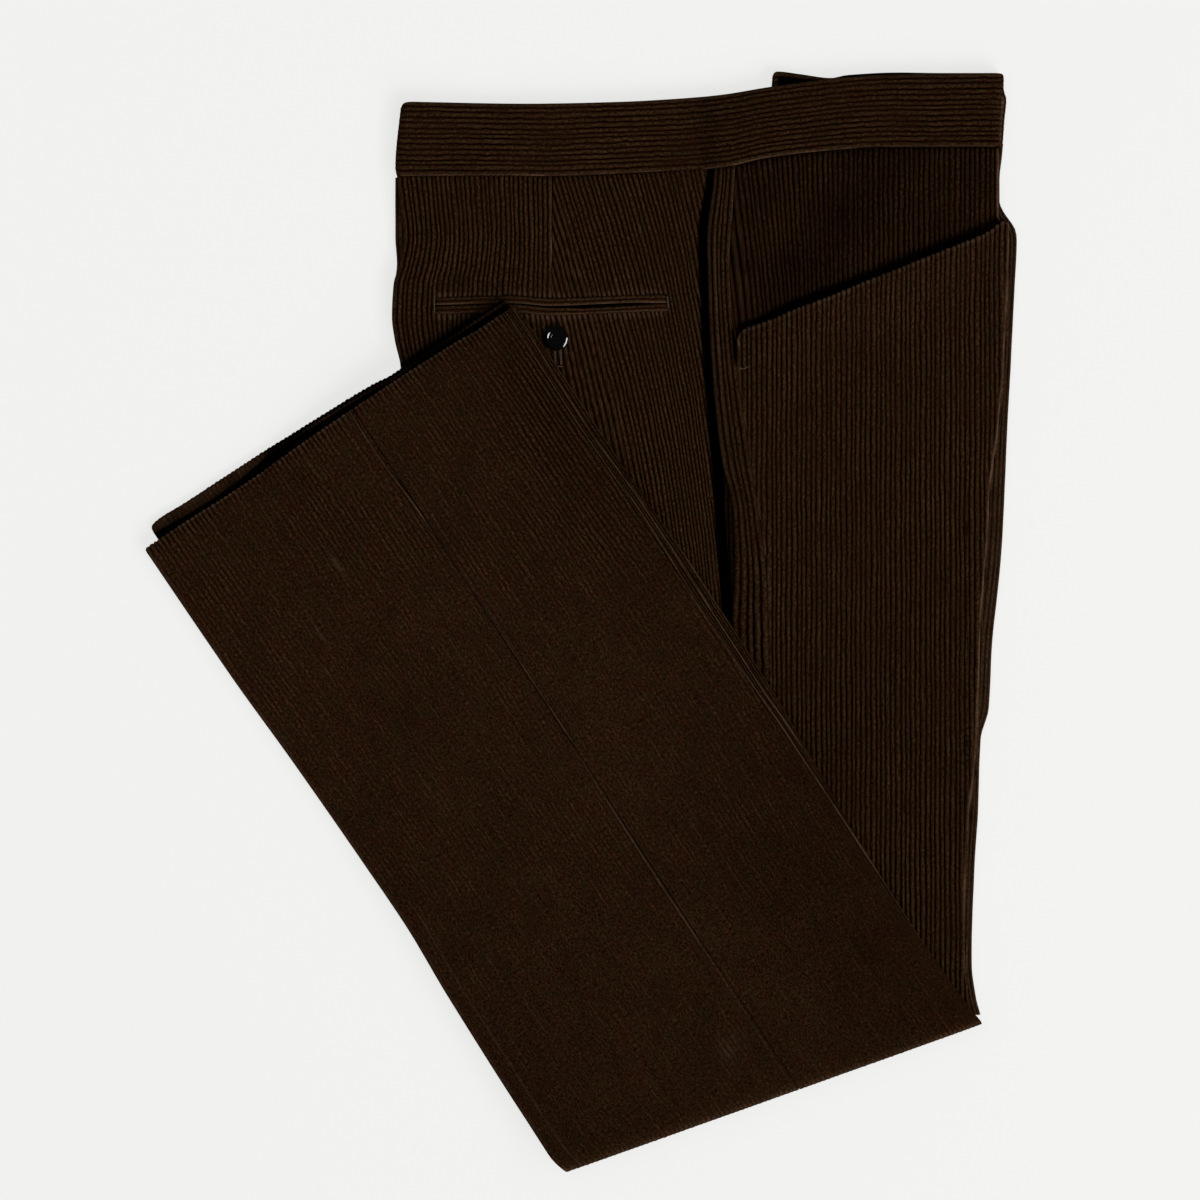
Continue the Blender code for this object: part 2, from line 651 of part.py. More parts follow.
def slot_roof(s, t, over_hem):
    """Underside of the lower leg's hidden layers over the near hem, or over the near panels."""
    low = under_shin(*leg_point(s, t)) + SEAM
    return low + NEAR_HEM_HEIGHT + RIB + LOOSE if over_hem else low + SEAM


def leg_section(s, t, top, bottom_s, roof, slotted):
    """One closed section: top, front edge, roof and wall of the slot, underside, back edge."""
    over_hem = bool(np.ptp(s) == 0)
    floor = roof if over_hem else np.zeros_like(roof)
    slot_t = t[-1] - OVERHANG
    inner = int(np.searchsorted(t, slot_t))
    roof_z = float(np.interp(slot_t, t, roof)) if slotted else 0.0
    slot_s = float(np.interp(slot_t, t, bottom_s))
    below = np.stack([
        np.append(bottom_s[:inner], [slot_s, slot_s, bottom_s[-1]]),
        np.append(t[:inner], [slot_t, slot_t, t[-1]]),
        np.append(floor[:inner], [roof_z if over_hem else 0.0, roof_z,
                                  roof[-1] if slotted else 0.0]),
    ], 1)
    above = np.stack([s, t, top], 1)
    front = folded_edge(above[-1], below[-1], 1)
    back = folded_edge(above[0], below[0], -1)
    loop = np.concatenate([above, front, below[::-1], back[::-1]])
    x, y = leg_point(loop[:, 0], loop[:, 1])
    return np.stack([x, y, loop[:, 2]], 1)


def folded_edge(start, end, way):
    """Points down a side: two folded edges of cloth with a groove between them."""
    # share of the way down, and how far it stands out
    down, out = np.array(((0.18, 0.6), (0.38, 0.3), (0.5, -0.9), (0.62, 0.3), (0.84, 0.5))).T
    line = lerp(start[None, :], end[None, :], down[:, None])
    line[:, 1] += out * way * min(1.0, abs(start[2] - end[2]) / 6)
    return line


def hidden_layers():
    """Both stacks joined to one rounded solid."""
    thigh = thigh_layers()
    leg = lower_leg_layers()
    join = thigh.modifiers.new("folded", "BOOLEAN")
    join.operation = "UNION"
    join.solver = "EXACT"
    join.object = leg
    leg.hide_render = True
    leg.display_type = "WIRE"


def main():
    for thing in list(bpy.data.objects):
        bpy.data.objects.remove(thing, do_unlink=True)
    hidden_layers()
    waistbands()
    side_strip("back_panel_far", FAR_BACK, CENTRE_BACK, 1, WAIST_Y - SEAM, 128.4, 6)
    side_strip("front_panel_far", FAR_CREASE, CREASE, -1, 270.0, FAR_END_Y, 14)
    back_panel_near()
    pocket_facing_near()
    front_panel_near()
    back_pocket()
    button()
    lower_leg_hem_near()
    lower_leg_panels()


main()
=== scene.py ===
"""Corduroy trousers laid on their side, legs together, and folded once at the knee.

Places are in millimetres and become metres where a mesh is made: +Z up off the floor, +Y up the
garment to its waistband and +X towards the front crease. "Near" is the side on top above the fold.
"""

from functools import partial

import bpy
import numpy as np
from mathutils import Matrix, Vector


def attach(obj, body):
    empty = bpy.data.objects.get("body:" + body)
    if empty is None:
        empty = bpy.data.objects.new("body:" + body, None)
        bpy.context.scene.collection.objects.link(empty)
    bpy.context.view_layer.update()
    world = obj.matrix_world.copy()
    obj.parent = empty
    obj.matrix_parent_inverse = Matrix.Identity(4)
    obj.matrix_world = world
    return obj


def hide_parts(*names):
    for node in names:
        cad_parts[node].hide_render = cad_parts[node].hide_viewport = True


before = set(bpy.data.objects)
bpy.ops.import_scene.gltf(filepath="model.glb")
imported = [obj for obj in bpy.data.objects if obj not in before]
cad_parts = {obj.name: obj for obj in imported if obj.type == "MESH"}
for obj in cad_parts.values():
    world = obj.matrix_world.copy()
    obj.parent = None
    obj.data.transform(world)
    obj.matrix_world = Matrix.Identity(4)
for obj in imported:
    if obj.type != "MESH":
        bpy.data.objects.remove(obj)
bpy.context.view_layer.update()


# --- Corduroy --------------------------------------------------------------------------------
# The whole garment is cut from one heavy cotton corduroy. Cords of cut pile stand in rows, between
# eight and nine to the inch, on a plain ground that shows between them. It is dyed a dark chocolate
# brown, and its pile is brushed flat in places, so that the rows fade in and out.

MM = 0.001
WALE = 2.9
SEWN_WALE = 3.07         # where a seam or a facing holds the cloth stretched across
COLUMNS = 6              # grid columns to one wale
CLOTH = 1.6              # thickness between the wales
PILE = 0.75              # how far a wale stands up
LOWEST = 0.05            # no layer goes closer to the floor

PILE_RED = "#28140a"     # the pile's two casts, where it leans to either side
PILE_OLIVE = "#241a0b"
PILE_TIP = "#392a1a"     # lit ends of the tufts along the top of a wale
PILE_IN_SHADE = "#1c0802"    # painted shade down among the tufts and on a wale's flanks
SHADED_GROUND = "#030100"       # the ground between two wales, in painted shade
WORN_AND_LIT = "#5a4434"         # pile rubbed down to its yarn along a seam or a fold, and painted highlights and glints
LINT = "#8d7a62"


def linear(code):
    """A colour from its sRGB hex code: c / 12.92 or ((c + 0.055) / 1.055) ** 2.4."""
    c = np.array([int(code[i:i + 2], 16) for i in (1, 3, 5)]) / 255
    c = np.where(c < 0.04045, c / 12.92, ((c + 0.055) / 1.055) ** 2.4)
    return (*c.tolist(), 1.0)


def feed(tree, sockets, values):
    """Sets each socket that values names to a constant, or links it to the output that feeds it."""
    for name, value in values.items():
        if isinstance(value, bpy.types.NodeSocket):
            tree.links.new(value, sockets[name])
        elif value is not None:
            sockets[name].default_value = value


def node(tree, kind, *values, output="", **settings):
    """Adds a node with its settings, and gives its output of that name, or else its first.

    The values go to its open inputs in their order, and None leaves an input as it is.
    """
    made = tree.nodes.new("ShaderNode" + kind)
    for name, value in settings.items():
        setattr(made, name, value)
    feed(tree, [socket for socket in made.inputs if socket.enabled], dict(enumerate(values)))
    return next(socket for socket in made.outputs if socket.enabled and output in ("", socket.name))


def material(name, surface, *colours):
    """A material with the values that surface(add, *colours) gives for its Principled shader."""
    made = bpy.data.materials.new(name)
    made.use_nodes = True
    tree = made.node_tree
    values = surface(partial(node, tree), *colours)
    feed(tree, tree.nodes["Principled BSDF"].inputs, values)
    return made


def cotton_corduroy(add):
    """Soft ridges with painted shade on the ground between, and no shine but a faint bloom at
    grazing angles.
    """
    place = add("TexCoord", output="Object")
    weave = add("UVMap", uv_map="weave")
    nap = add("Attribute", attribute_name="nap", output="Fac")

    # Wales: the weave map counts them. They wander by up to a fifth of their width, most where
    # the pile is pressed flat
    astray = add("Math", nap, -1.0, 1.4, operation="MULTIPLY_ADD")
    drift = add("Math", add("TexNoise", weave, 0.45, 3.0), 0.5, operation="SUBTRACT")
    drift = add("Math", drift, astray, operation="MULTIPLY")
    count = add("Math", add("SeparateXYZ", weave), drift, operation="ADD")
    count = add("Math", count, np.pi, operation="MULTIPLY")
    ridge = add("Math", add("Math", count, operation="SINE"), operation="ABSOLUTE")
    ridge = add("Math", ridge, 0.9, operation="POWER")
    # Tufts are 1 mm across and 2 mm along, coarser than real pile so that they show
    tufts = add("TexNoise", add("Mapping", weave, None, None, (2.9, 1.5, 1.0)), 1.0, 3.0, 0.7)
    # Each wale leans its own way for 20 to 40 mm
    streak = add("TexNoise", add("Mapping", weave, None, None, (0.85, 0.11, 1.0)), 1.0, 3.0, 0.6)
    # The pile's lie changes over 10 to 40 mm
    lie = add("TexNoise", place, 28.0, 3.0, 0.6)
    brushed = add("Math", nap, add("MapRange", lie, 0.3, 0.62, 0.6, 1.08), operation="MULTIPLY")
    uneven = add("MapRange", streak, 0.3, 0.7, 0.8, 1.15)
    brushed = add("Math", brushed, uneven, operation="MULTIPLY")
    # Where it is pressed flat, the wales come and go one by one
    flat = add("Math", nap, -1.6, 1.6, operation="MULTIPLY_ADD")
    lean = add("Math", streak, 0.5, operation="SUBTRACT")
    brushed = add("Math", lean, flat, brushed, operation="MULTIPLY_ADD")
    raised = add("Math", ridge, brushed, operation="MULTIPLY")
    level = add("Math", add("Math", 1.0, brushed, operation="SUBTRACT"), 0.72, operation="MULTIPLY")
    shown = add("Math", raised, level, operation="ADD")

    cast = add("TexNoise", add("Mapping", weave, None, None, (1.3, 0.4, 1.0)), 1.0)
    cast = add("Math", cast, 0.5, operation="SUBTRACT")
    cast = add("Math", add("TexNoise", place, 95.0), cast, operation="ADD")
    cast = add("MapRange", cast, 0.34, 0.66)
    pile = add("Mix", cast, linear(PILE_RED), linear(PILE_OLIVE), data_type="RGBA")
    # Painted highlight on the tufts' lit ends along the wales' tops, and painted shade down among
    # the tufts, on the wales' flanks and darkest on the ground between them
    tips = add("MapRange", tufts, 0.42, 0.68)
    tips = add("Math", tips, add("MapRange", shown, 0.5, 1.0), operation="MULTIPLY")
    pile = add("Mix", tips, pile, linear(PILE_TIP), data_type="RGBA")
    deep = add("Math", add("MapRange", tufts, 0.46, 0.32), 0.5, operation="MULTIPLY")
    pile = add("Mix", deep, pile, linear(PILE_IN_SHADE), data_type="RGBA")
    flank = add("MapRange", shown, 0.28, 0.55)
    flank = add("Mix", flank, linear(SHADED_GROUND), linear(PILE_IN_SHADE), data_type="RGBA")
    colour = add("Mix", add("MapRange", shown, 0.42, 0.86), flank, pile, data_type="RGBA")
    # The pressed pile is the more mottled
    mottle = add("Math", nap, -1.9, 4.4, operation="MULTIPLY_ADD")
    grain = add("Math", tufts, 0.5, operation="SUBTRACT")
    grain = add("Math", grain, mottle, 1.0, operation="MULTIPLY_ADD")
    for cause, dark, light in ((streak, 0.74, 1.26), (lie, 0.86, 1.14)):
        shade = add("MapRange", cause, 0.3, 0.7, dark, light)
        grain = add("Math", grain, shade, operation="MULTIPLY")
    colour = add("VectorMath", colour, grain, operation="MULTIPLY")
    # Painted glints: single tufts stand up and catch the light
    glint = add("TexNoise", add("Mapping", weave, None, None, (4.5, 2.6, 1.0)), 1.0, 1.0)
    glint = add("Math", add("MapRange", glint, 0.6, 0.72), 0.4, operation="MULTIPLY")
    glint = add("Math", glint, shown, operation="MULTIPLY")
    colour = add("Mix", glint, colour, linear(WORN_AND_LIT), data_type="RGBA")
    # Rubbed pile and painted highlights are pale, but never for long
    broken = add("Math", add("MapRange", tufts, 0.3, 0.6, 0.5, 1.0),
                 add("MapRange", add("TexNoise", place, 70.0), 0.36, 0.6, 0.4, 1.15),
                 operation="MULTIPLY")
    rubbed = add("Attribute", attribute_name="rub", output="Fac")
    rubbed = add("Math", rubbed, broken, operation="MULTIPLY")
    colour = add("Mix", rubbed, colour, linear(WORN_AND_LIT), data_type="RGBA")
    # A few specks of lint, each under a millimetre
    off_speck = add("TexVoronoi", place, 62.0)
    chosen = add("Math", off_speck.node.outputs["Color"], 0.93, operation="GREATER_THAN")
    speck = add("MapRange", off_speck, 0.022, 0.04, 1.0, 0.0)
    speck = add("Math", speck, chosen, operation="MULTIPLY")
    speck = add("Math", speck, 0.55, operation="MULTIPLY")
    colour = add("Mix", speck, colour, linear(LINT), data_type="RGBA")
    # Painted shade: black deep in a fold, and a part of that where less light comes
    painted_shade_fac = add("Attribute", attribute_name="painted_shade", output="Fac")
    colour = add("Mix", painted_shade_fac, colour, linear("#000000"), data_type="RGBA")

    height = add("Math", tufts, 0.7, operation="MULTIPLY")
    height = add("Math", raised, height, operation="ADD")
    return {"Base Color": colour, "Normal": add("Bump", 0.6, 0.3 * MM, None, height),
            "Roughness": 0.95, "Specular IOR Level": 0.01, "Sheen Weight": 0.015,
            "Sheen Roughness": 0.4, "Sheen Tint": linear("#b09070")}


corduroy = material("cotton_corduroy", cotton_corduroy)


def curve(*rows):
    """A smooth curve through (u, v) rows, as a function of u.

    Cubic pieces with the harmonic mean of the slopes on either side, so it never swings past a row.
    """
    u, v = np.array(sorted(rows), dtype=float).T
    step = np.diff(u)
    slope = np.diff(v) / step
    tangent = np.zeros_like(v)
    tangent[0], tangent[-1] = slope[0], slope[-1]
    same_way = slope[:-1] * slope[1:] > 0
    mean = 2 * slope[:-1] * slope[1:] / np.where(same_way, slope[:-1] + slope[1:], 1)
    tangent[1:-1] = np.where(same_way, mean, 0)

    def value(at):
        at = np.clip(at, u[0], u[-1])
        i = np.clip(np.searchsorted(u, at, side="right") - 1, 0, len(step) - 1)
        w = (at - u[i]) / step[i]
        return (
            v[i] * (1 + 2 * w) * (1 - w) ** 2
            + v[i + 1] * (3 - 2 * w) * w**2
            + step[i] * w * (1 - w) * ((1 - w) * tangent[i] - w * tangent[i + 1])
        )

    return value


def ramp(low, high, at):
    """0 below low, 1 above high: 3 w^2 - 2 w^3 between."""
    w = np.clip((at - low) / (high - low), 0, 1)
    return w * w * (3 - 2 * w)


def fall(low, high, at):
    """1 below low, 0 above high."""
    return 1 - ramp(low, high, at)


def bell(off, width):
    """1 on a line and less on either side of it: exp(-(off / width)^2)."""
    return np.exp(-((off / width) ** 2))


def lerp(a, b, w):
    """a where w is 0 and b where it is 1: a + (b - a) w."""
    return a + (b - a) * w


def wander(u, v, span):
    """Slow uneven waves between about -1 and 1: three sines whose lengths don't fit each other."""
    u, v = u / span, v / span
    return (np.sin(2.1 * u + 1.3 * np.sin(1.7 * v)) + 0.6 * np.sin(4.3 * u - 2.9 * v + 2.0)
            + 0.4 * np.sin(1.3 * u + 6.1 * v + 5.0)) / 2


def rounded(inward, radius, drop):
    """How far a turned edge has dropped: drop * (1 - sqrt(1 - (1 - inward / radius)^2))."""
    off = 1 - np.clip(inward / radius, 0, 1)
    return drop * (1 - np.sqrt(1 - off * off))


def crease(u, v, start, end, width, height):
    """A soft ridge along a line, or a trough if height is negative.

    height * exp(-(off / width)^2), fading out towards both ends.
    """
    run = np.array(end) - start
    length = np.hypot(*run)
    du, dv = u - start[0], v - start[1]
    along = (du * run[0] + dv * run[1]) / length**2
    off = (dv * run[0] - du * run[1]) / length
    ends = ramp(-0.1, 0.2, along) * fall(0.8, 1.1, along)
    return height * bell(off, width) * ends


def grid(x, y, z):
    """Rows and columns of points from their coordinates."""
    return np.stack(np.broadcast_arrays(x, y, z), 2).astype(float)


def layer(base, pile=PILE, thickness=CLOTH, nap=1.0, rub=0.0, painted_shade=0.0, down=False):
    """One closed sheet over a grid of points whose columns run along the wales.

    Outside it is base + n * pile * uneven * |sin(pi * wale)|^0.8, with n the grid's unit normal and
    uneven a slow wave of its own on each wale, the larger the flatter its nap. Inside it is
    base - n * thickness on one column of each valley. The weave map holds the count of wales and
    the length along them. nap is how clearly the wales show, rub how pale the pile is from wear and
    from painted highlights, and gap how much shade is painted on: all of it deep in a fold, and a
    share over broad areas.
    """
    rows, columns = base.shape[:2]
    across = np.broadcast_to(np.arange(columns) / COLUMNS, (rows, columns))
    steps = np.linalg.norm(np.diff(base, axis=0), axis=2)
    along = np.concatenate([np.zeros((1, columns)), np.cumsum(steps, 0)]) / WALE
    normal = np.cross(np.gradient(base, axis=0), np.gradient(base, axis=1))
    normal /= np.linalg.norm(normal, axis=2, keepdims=True) + 1e-9
    turned = (normal[..., 2].mean() < 0) != down
    normal = -normal if turned else normal
    uneven = 1 + (0.8 - 0.52 * nap) * wander(11 * np.floor(across), along, 7.0)
    ridge = pile * uneven * np.abs(np.sin(np.pi * across)) ** 0.8
    outer = base + normal * ridge[..., None]
    inner = (base - normal * thickness)[:, ::COLUMNS]
    for side in (outer, inner):
        side[..., 2] = np.maximum(side[..., 2], LOWEST)
    top = np.arange(rows * columns).reshape(rows, columns)
    under = top.size + np.arange(inner.shape[0] * inner.shape[1]).reshape(inner.shape[:2])
    soft = np.concatenate([
        np.stack([top[:-1, :-1], top[1:, :-1], top[1:, 1:], top[:-1, 1:]], 2).reshape(-1, 4),
        np.stack([under[:-1, :-1], under[:-1, 1:], under[1:, 1:], under[1:, :-1]], 2).reshape(-1, 4),
    ])
    sides = np.concatenate([
        np.stack([top[:-1, 0], under[:-1, 0], under[1:, 0], top[1:, 0]], 1),
        np.stack([top[:-1, -1], top[1:, -1], under[1:, -1], under[:-1, -1]], 1),
    ])
    cell = COLUMNS * np.arange(under.shape[1] - 1)[:, None] + np.arange(COLUMNS + 1)
    ends = np.concatenate([
        np.column_stack([top[0][cell], under[0, 1:], under[0, :-1]]),
        np.column_stack([top[-1][cell][:, ::-1], under[-1, :-1], under[-1, 1:]]),
    ])
    way = -1 if turned else 1

    def both(value):
        value = np.broadcast_to(value, (rows, columns))
        return np.concatenate([value.ravel(), value[:, ::COLUMNS].ravel()])

    return {
        "shell": (np.concatenate([outer.reshape(-1, 3), inner.reshape(-1, 3)]),
                  [soft[:, ::way], sides[:, ::way], ends[:, ::way]]),
        "weave": np.stack([both(across), both(along)], 1),
        "nap": both(nap), "rub": both(rub), "painted_shade": both(painted_shade),
    }


def join_shells(name, shells):
    """One mesh of closed shells, each given by its points and by arrays of its faces."""
    points, faces, first = [], [], 0
    for places, kinds in shells:
        points.append(places)
        for kind in kinds:
            faces += (kind + first).tolist()
        first += len(places)
    mesh = bpy.data.meshes.new(name)
    mesh.from_pydata((np.concatenate(points) * MM).tolist(), [], faces)
    return mesh


def add_object(name, data):
    """Puts new data into the scene, unmoved."""
    made = bpy.data.objects.new(name, data)
    bpy.context.collection.objects.link(made)
    return made


def add_piece(name, mesh, finish, replaced):
    """A finished piece of the trousers, which stands for the CAD nodes in replaced."""
    mesh.materials.append(finish)
    made = add_object(name, mesh)
    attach(made, "root")
    if replaced:
        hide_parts(*replaced)
    return made


def garment_piece(name, replaced, *layers):
    """Joins layers into one piece. Their two sides are smooth, and their edges are sharp."""
    mesh = join_shells(name, [part["shell"] for part in layers])
    smooth = [np.full(len(kind), number == 0)
              for part in layers for number, kind in enumerate(part["shell"][1])]
    mesh.polygons.foreach_set("use_smooth", np.concatenate(smooth))
    corner = np.empty(len(mesh.loops), dtype=np.int32)
    mesh.loops.foreach_get("vertex_index", corner)
    weave = np.concatenate([part["weave"] for part in layers])[corner]
    mesh.uv_layers.new(name="weave").data.foreach_set("uv", weave.astype(np.float32).ravel())
    for key in ("nap", "rub", "painted_shade"):
        values = np.concatenate([part[key] for part in layers]).astype(np.float32)
        mesh.attributes.new(key, "FLOAT", "POINT").data.foreach_set("value", values)
    return add_piece(name, mesh, corduroy, replaced)


def wales_across(width, pitch=WALE):
    """Share of the way across of each grid column, for a whole number of wales.

    Wale k is as wide as 1 + 0.12 sin(2.4 k) + 0.1 sin(5.1 k + 1), all scaled to fit the width.
    """
    count = max(1, round(width / pitch))
    k = np.arange(count)
    widths = 1 + 0.12 * np.sin(2.4 * k) + 0.1 * np.sin(5.1 * k + 1)
    valleys = np.concatenate([[0], np.cumsum(widths)])
    columns = np.arange(COLUMNS * count + 1) / COLUMNS
    return np.interp(columns, np.arange(count + 1), valleys / valleys[-1])


def crests(count):
    """For each of the first grid columns, |sin(pi * column / COLUMNS)|: 1 on a wale's crest."""
    return np.abs(np.sin(np.pi * np.arange(count) / COLUMNS))


# --- Laid outline ----------------------------------------------------------------------------
# The trousers lie on one side. The far leg is under the near one, and each leg is two layers with
# a fold along its front crease and its back. These lines are where those folds and seams lie.

# (y, x) down the sides of the upper part
CENTRE_BACK = curve((266, -110), (252, -108.3), (230, -106), (214, -108.6), (202, -112),
                    (183, -113), (169, -111.3), (151, -107.7), (103, -109), (13, -99.5),
                    (-107, -75.5), (-227, -42.5), (-329, -7.5))
FAR_BACK = curve((266, -110.8), (230, -110.8), (214, -109.8), (200, -111.6), (183, -112.6),
                 (169, -110.9), (151, -107.5), (120, -107.9))
SIDE_SEAM = curve((272, 92.7), (240, 90.8), (216, 89.2), (175, 91.5), (151, 94), (93, 102.5),
                  (64, 107), (19, 112.4), (-37, 113.8), (-70, 114))
CREASE = curve((284, 251.2), (242, 251.2), (236, 257.6), (209, 256.6), (175, 255.4),
               (140, 253), (109, 250), (79, 246), (42, 243.8), (8, 241), (-47, 238.7),
               (-78, 237.6), (-125, 232.6), (-182, 230.9), (-205, 231.4), (-232, 235))
FAR_CREASE = curve((287, 253.3), (276, 252.2), (268, 251.2), (252, 250.8), (246, 253),
                   (239.4, 257.3), (235.6, 260), (229, 261.3), (191, 259.6), (109, 255.4),
                   (43, 252.3), (-15, 246.5), (-52, 244.6), (-71, 239.6), (-113, 238.2),
                   (-147, 236), (-205, 234.3), (-226, 236.9), (-236, 239.6), (-241, 240.6))
# (x, y) across it
WAIST_SEAM = curve((-113, 266), (-20, 266), (42, 268.4), (84, 271), (111, 276.8),
                   (148, 281.2), (184, 283.4), (262, 283.6))
POCKET_MOUTH = curve((92.6, 157), (94, 169), (97, 173.6), (111, 178.7), (129, 186.2),
                     (148, 193.4), (184, 208), (204, 216), (225, 224.4), (243, 232.2), (254, 239),
                     (259, 236.5))
POCKET_LIP = curve((-87, 189.2), (-40, 190.2), (-18, 188.6), (15, 189.9), (52, 191.2))
# (s, t) down the folded lower leg: s runs down the leg and t across it, from its back crease
LEG_CORNER = (-259.5, 40.2)
LEG_DOWN = (0.548, -0.836)
LEG_ACROSS = (0.836, 0.548)
BACK_CREASE_T = curve((-12, 0), (87, 1.7), (151, 4.5), (228, 6.8), (269, 7.6), (322, 5.5),
                      (400, 4.4), (432, 4.4), (450, 8))
FRONT_CREASE_T = curve((-12, 264.2), (24, 266.6), (106, 267), (202, 269), (269, 268.4),
                       (319, 266), (366, 262.8), (445, 261), (510, 263.9))
SEAM = 0.3               # between two panels along the seam that joins them
TUCK = 14.0              # how far the upper panels reach in under the lower leg
LOOSE = 0.5              # air under the near panels
WAIST_TUCK = 0.6         # how far the panels reach in under the waistband's edge
STACK_EDGE, STACK_CROWN = 5.2, 2.4       # height of the layers under the near panels
SHIN_EDGE, SHIN_CROWN = 6.6, 1.6         # height of those under the lower leg's top panels
DRAPE = 90.0             # the lower leg comes down to the floor over this width beside the thigh
# (mm in from an edge, share of the crown) over which a stack of layers rises
rise = curve((0, 0), (4, 0.25), (12, 0.5), (25, 0.8), (45, 1))


def leg_point(s, t):
    """Plan place of a point s down the lower leg and t across it."""
    return (LEG_CORNER[0] + s * LEG_DOWN[0] + t * LEG_ACROSS[0],
            LEG_CORNER[1] + s * LEG_DOWN[1] + t * LEG_ACROSS[1])


def leg_place(x, y):
    """The s and t of a plan point."""
    dx, dy = x - LEG_CORNER[0], y - LEG_CORNER[1]
    return dx * LEG_DOWN[0] + dy * LEG_DOWN[1], dx * LEG_ACROSS[0] + dy * LEG_ACROSS[1]


def under_leg(x, y):
    """Where the lower leg lies over the upper part by more than about TUCK."""
    s, t = leg_place(x, y)
    return (s > 16) & (t < FRONT_CREASE_T(s) - TUCK)


def near_face(x, y):
    """Height of the near panels between their wales: edge + crown * rise(inward) + air + cloth."""
    inward = np.minimum(x - CENTRE_BACK(y), CREASE(y) - x)
    return STACK_EDGE + STACK_CROWN * rise(inward) + LOOSE + CLOTH


def under_band(x, y):
    """How far the panels drop where they go in under the waistband's edge."""
    return rounded(WAIST_SEAM(x) + WAIST_TUCK - y, 2.4, 1.8)


def under_shin(x, y):
    """Top of what the lower leg lies on: the thigh, its pocket, and the floor beside it."""
    beside = x - CENTRE_BACK(y)
    inward = np.minimum(beside, CREASE(y) - x)
    pocket = 2.0 * fall(8, 60, np.abs(y - 190))
    thigh = (STACK_EDGE + LOOSE + CLOTH + 0.5 + pocket) * ramp(-DRAPE, -2, beside)
    return thigh + STACK_CROWN * rise(inward)


def shin_face(s, t):
    """Height of the lower leg's top panels between their wales."""
    inward = np.minimum(t - BACK_CREASE_T(s), FRONT_CREASE_T(s) - t)
    return under_shin(*leg_point(s, t)) + SHIN_EDGE + SHIN_CROWN * rise(inward) + CLOTH


# --- Underside and far panels ----------------------------------------------------------------
# The far leg's outer side lies flat on the floor. It is made of a back and a front panel like the
# near one's, and it folds up round the centre back and the front crease, where its edge shows
# beside the near leg's. The near leg's lower half lies on the floor beside it.

FAR_FOLD = 2.15          # radius of the fold: two layers of cloth


def folded_edge(edge, inward, way, low, rows, **finish):
    """A layer that turns back under itself at a side edge.

    Its section is flat for the length inward and then nearly a half circle: out = r sin(a) - r and
    up = low + r + r cos(a), with a = length / r.
    """
    length = inward + np.pi * FAR_FOLD * 0.96
    run = wales_across(length) * length - inward
    angle = np.maximum(run, 0) / FAR_FOLD
    out = np.minimum(run, 0) + FAR_FOLD * (np.sin(angle) - 1)
    up = FAR_FOLD * (1 + np.cos(angle))
    return layer(edge(out * way, low + up, rows), pile=0.45, thickness=1.2, **finish)


def upper_edge(outline):
    """Places at a distance out from an outline of the upper part."""
    return lambda out, z, y: grid(outline(y[:, None]) + out, y[:, None], z)


back_far = garment_piece(
    "back_panel_far_cloth", ["back_panel_far"],
    folded_edge(upper_edge(FAR_BACK), 6.0, -1, 0.0, np.linspace(265.7, 112, 52), rub=0.12))

front_far = garment_piece(
    "front_panel_far_cloth", ["front_panel_far"],
    folded_edge(upper_edge(FAR_CREASE), 8.0, 1, 0.0, np.linspace(286, -236, 154), rub=0.12))


def thigh_underside():
    """Flat on the floor between the two side folds, from the waist seam to the knee fold."""
    share = wales_across(340)
    down = np.linspace(0, 1, 50)[:, None]
    y = lerp(lerp(264, -318, down), lerp(281, -234, down), share)
    x = lerp(CENTRE_BACK(y) + 2.2, CREASE(y) - 2.2, share)
    return layer(grid(x, y, 0.1), pile=0.0, thickness=1.2, down=True)


underside = garment_piece("thigh_underside", ["hidden_layers"], thigh_underside())


# --- Waistband -------------------------------------------------------------------------------
# A straight band of doubled corduroy, 43 mm deep, with its wales along it. Its upper edge is a
# fold, and its lower edge is sewn over the panels, with a thin pale line painted on that turned
# edge as a highlight. Above the near band a hump of the far one shows.

BAND_DEPTH = 43.0
# (x, y) of its upper edge, and of the far band's
BAND_TOP = curve((-109, 311), (-30, 309.7), (24, 310.8), (60, 312.8), (84, 315), (114, 319.8),
                 (155, 325), (184, 327), (255, 328))
FAR_BAND_TOP = curve((-107, 309), (60, 311), (110, 318), (114.8, 319.4), (115.2, 326),
                     (116.0, 328.4), (118.0, 329.3), (131.7, 327.7), (150, 325.4), (160, 327.2),
                     (190, 328.7), (215, 328.4), (252, 328.4), (256, 328))


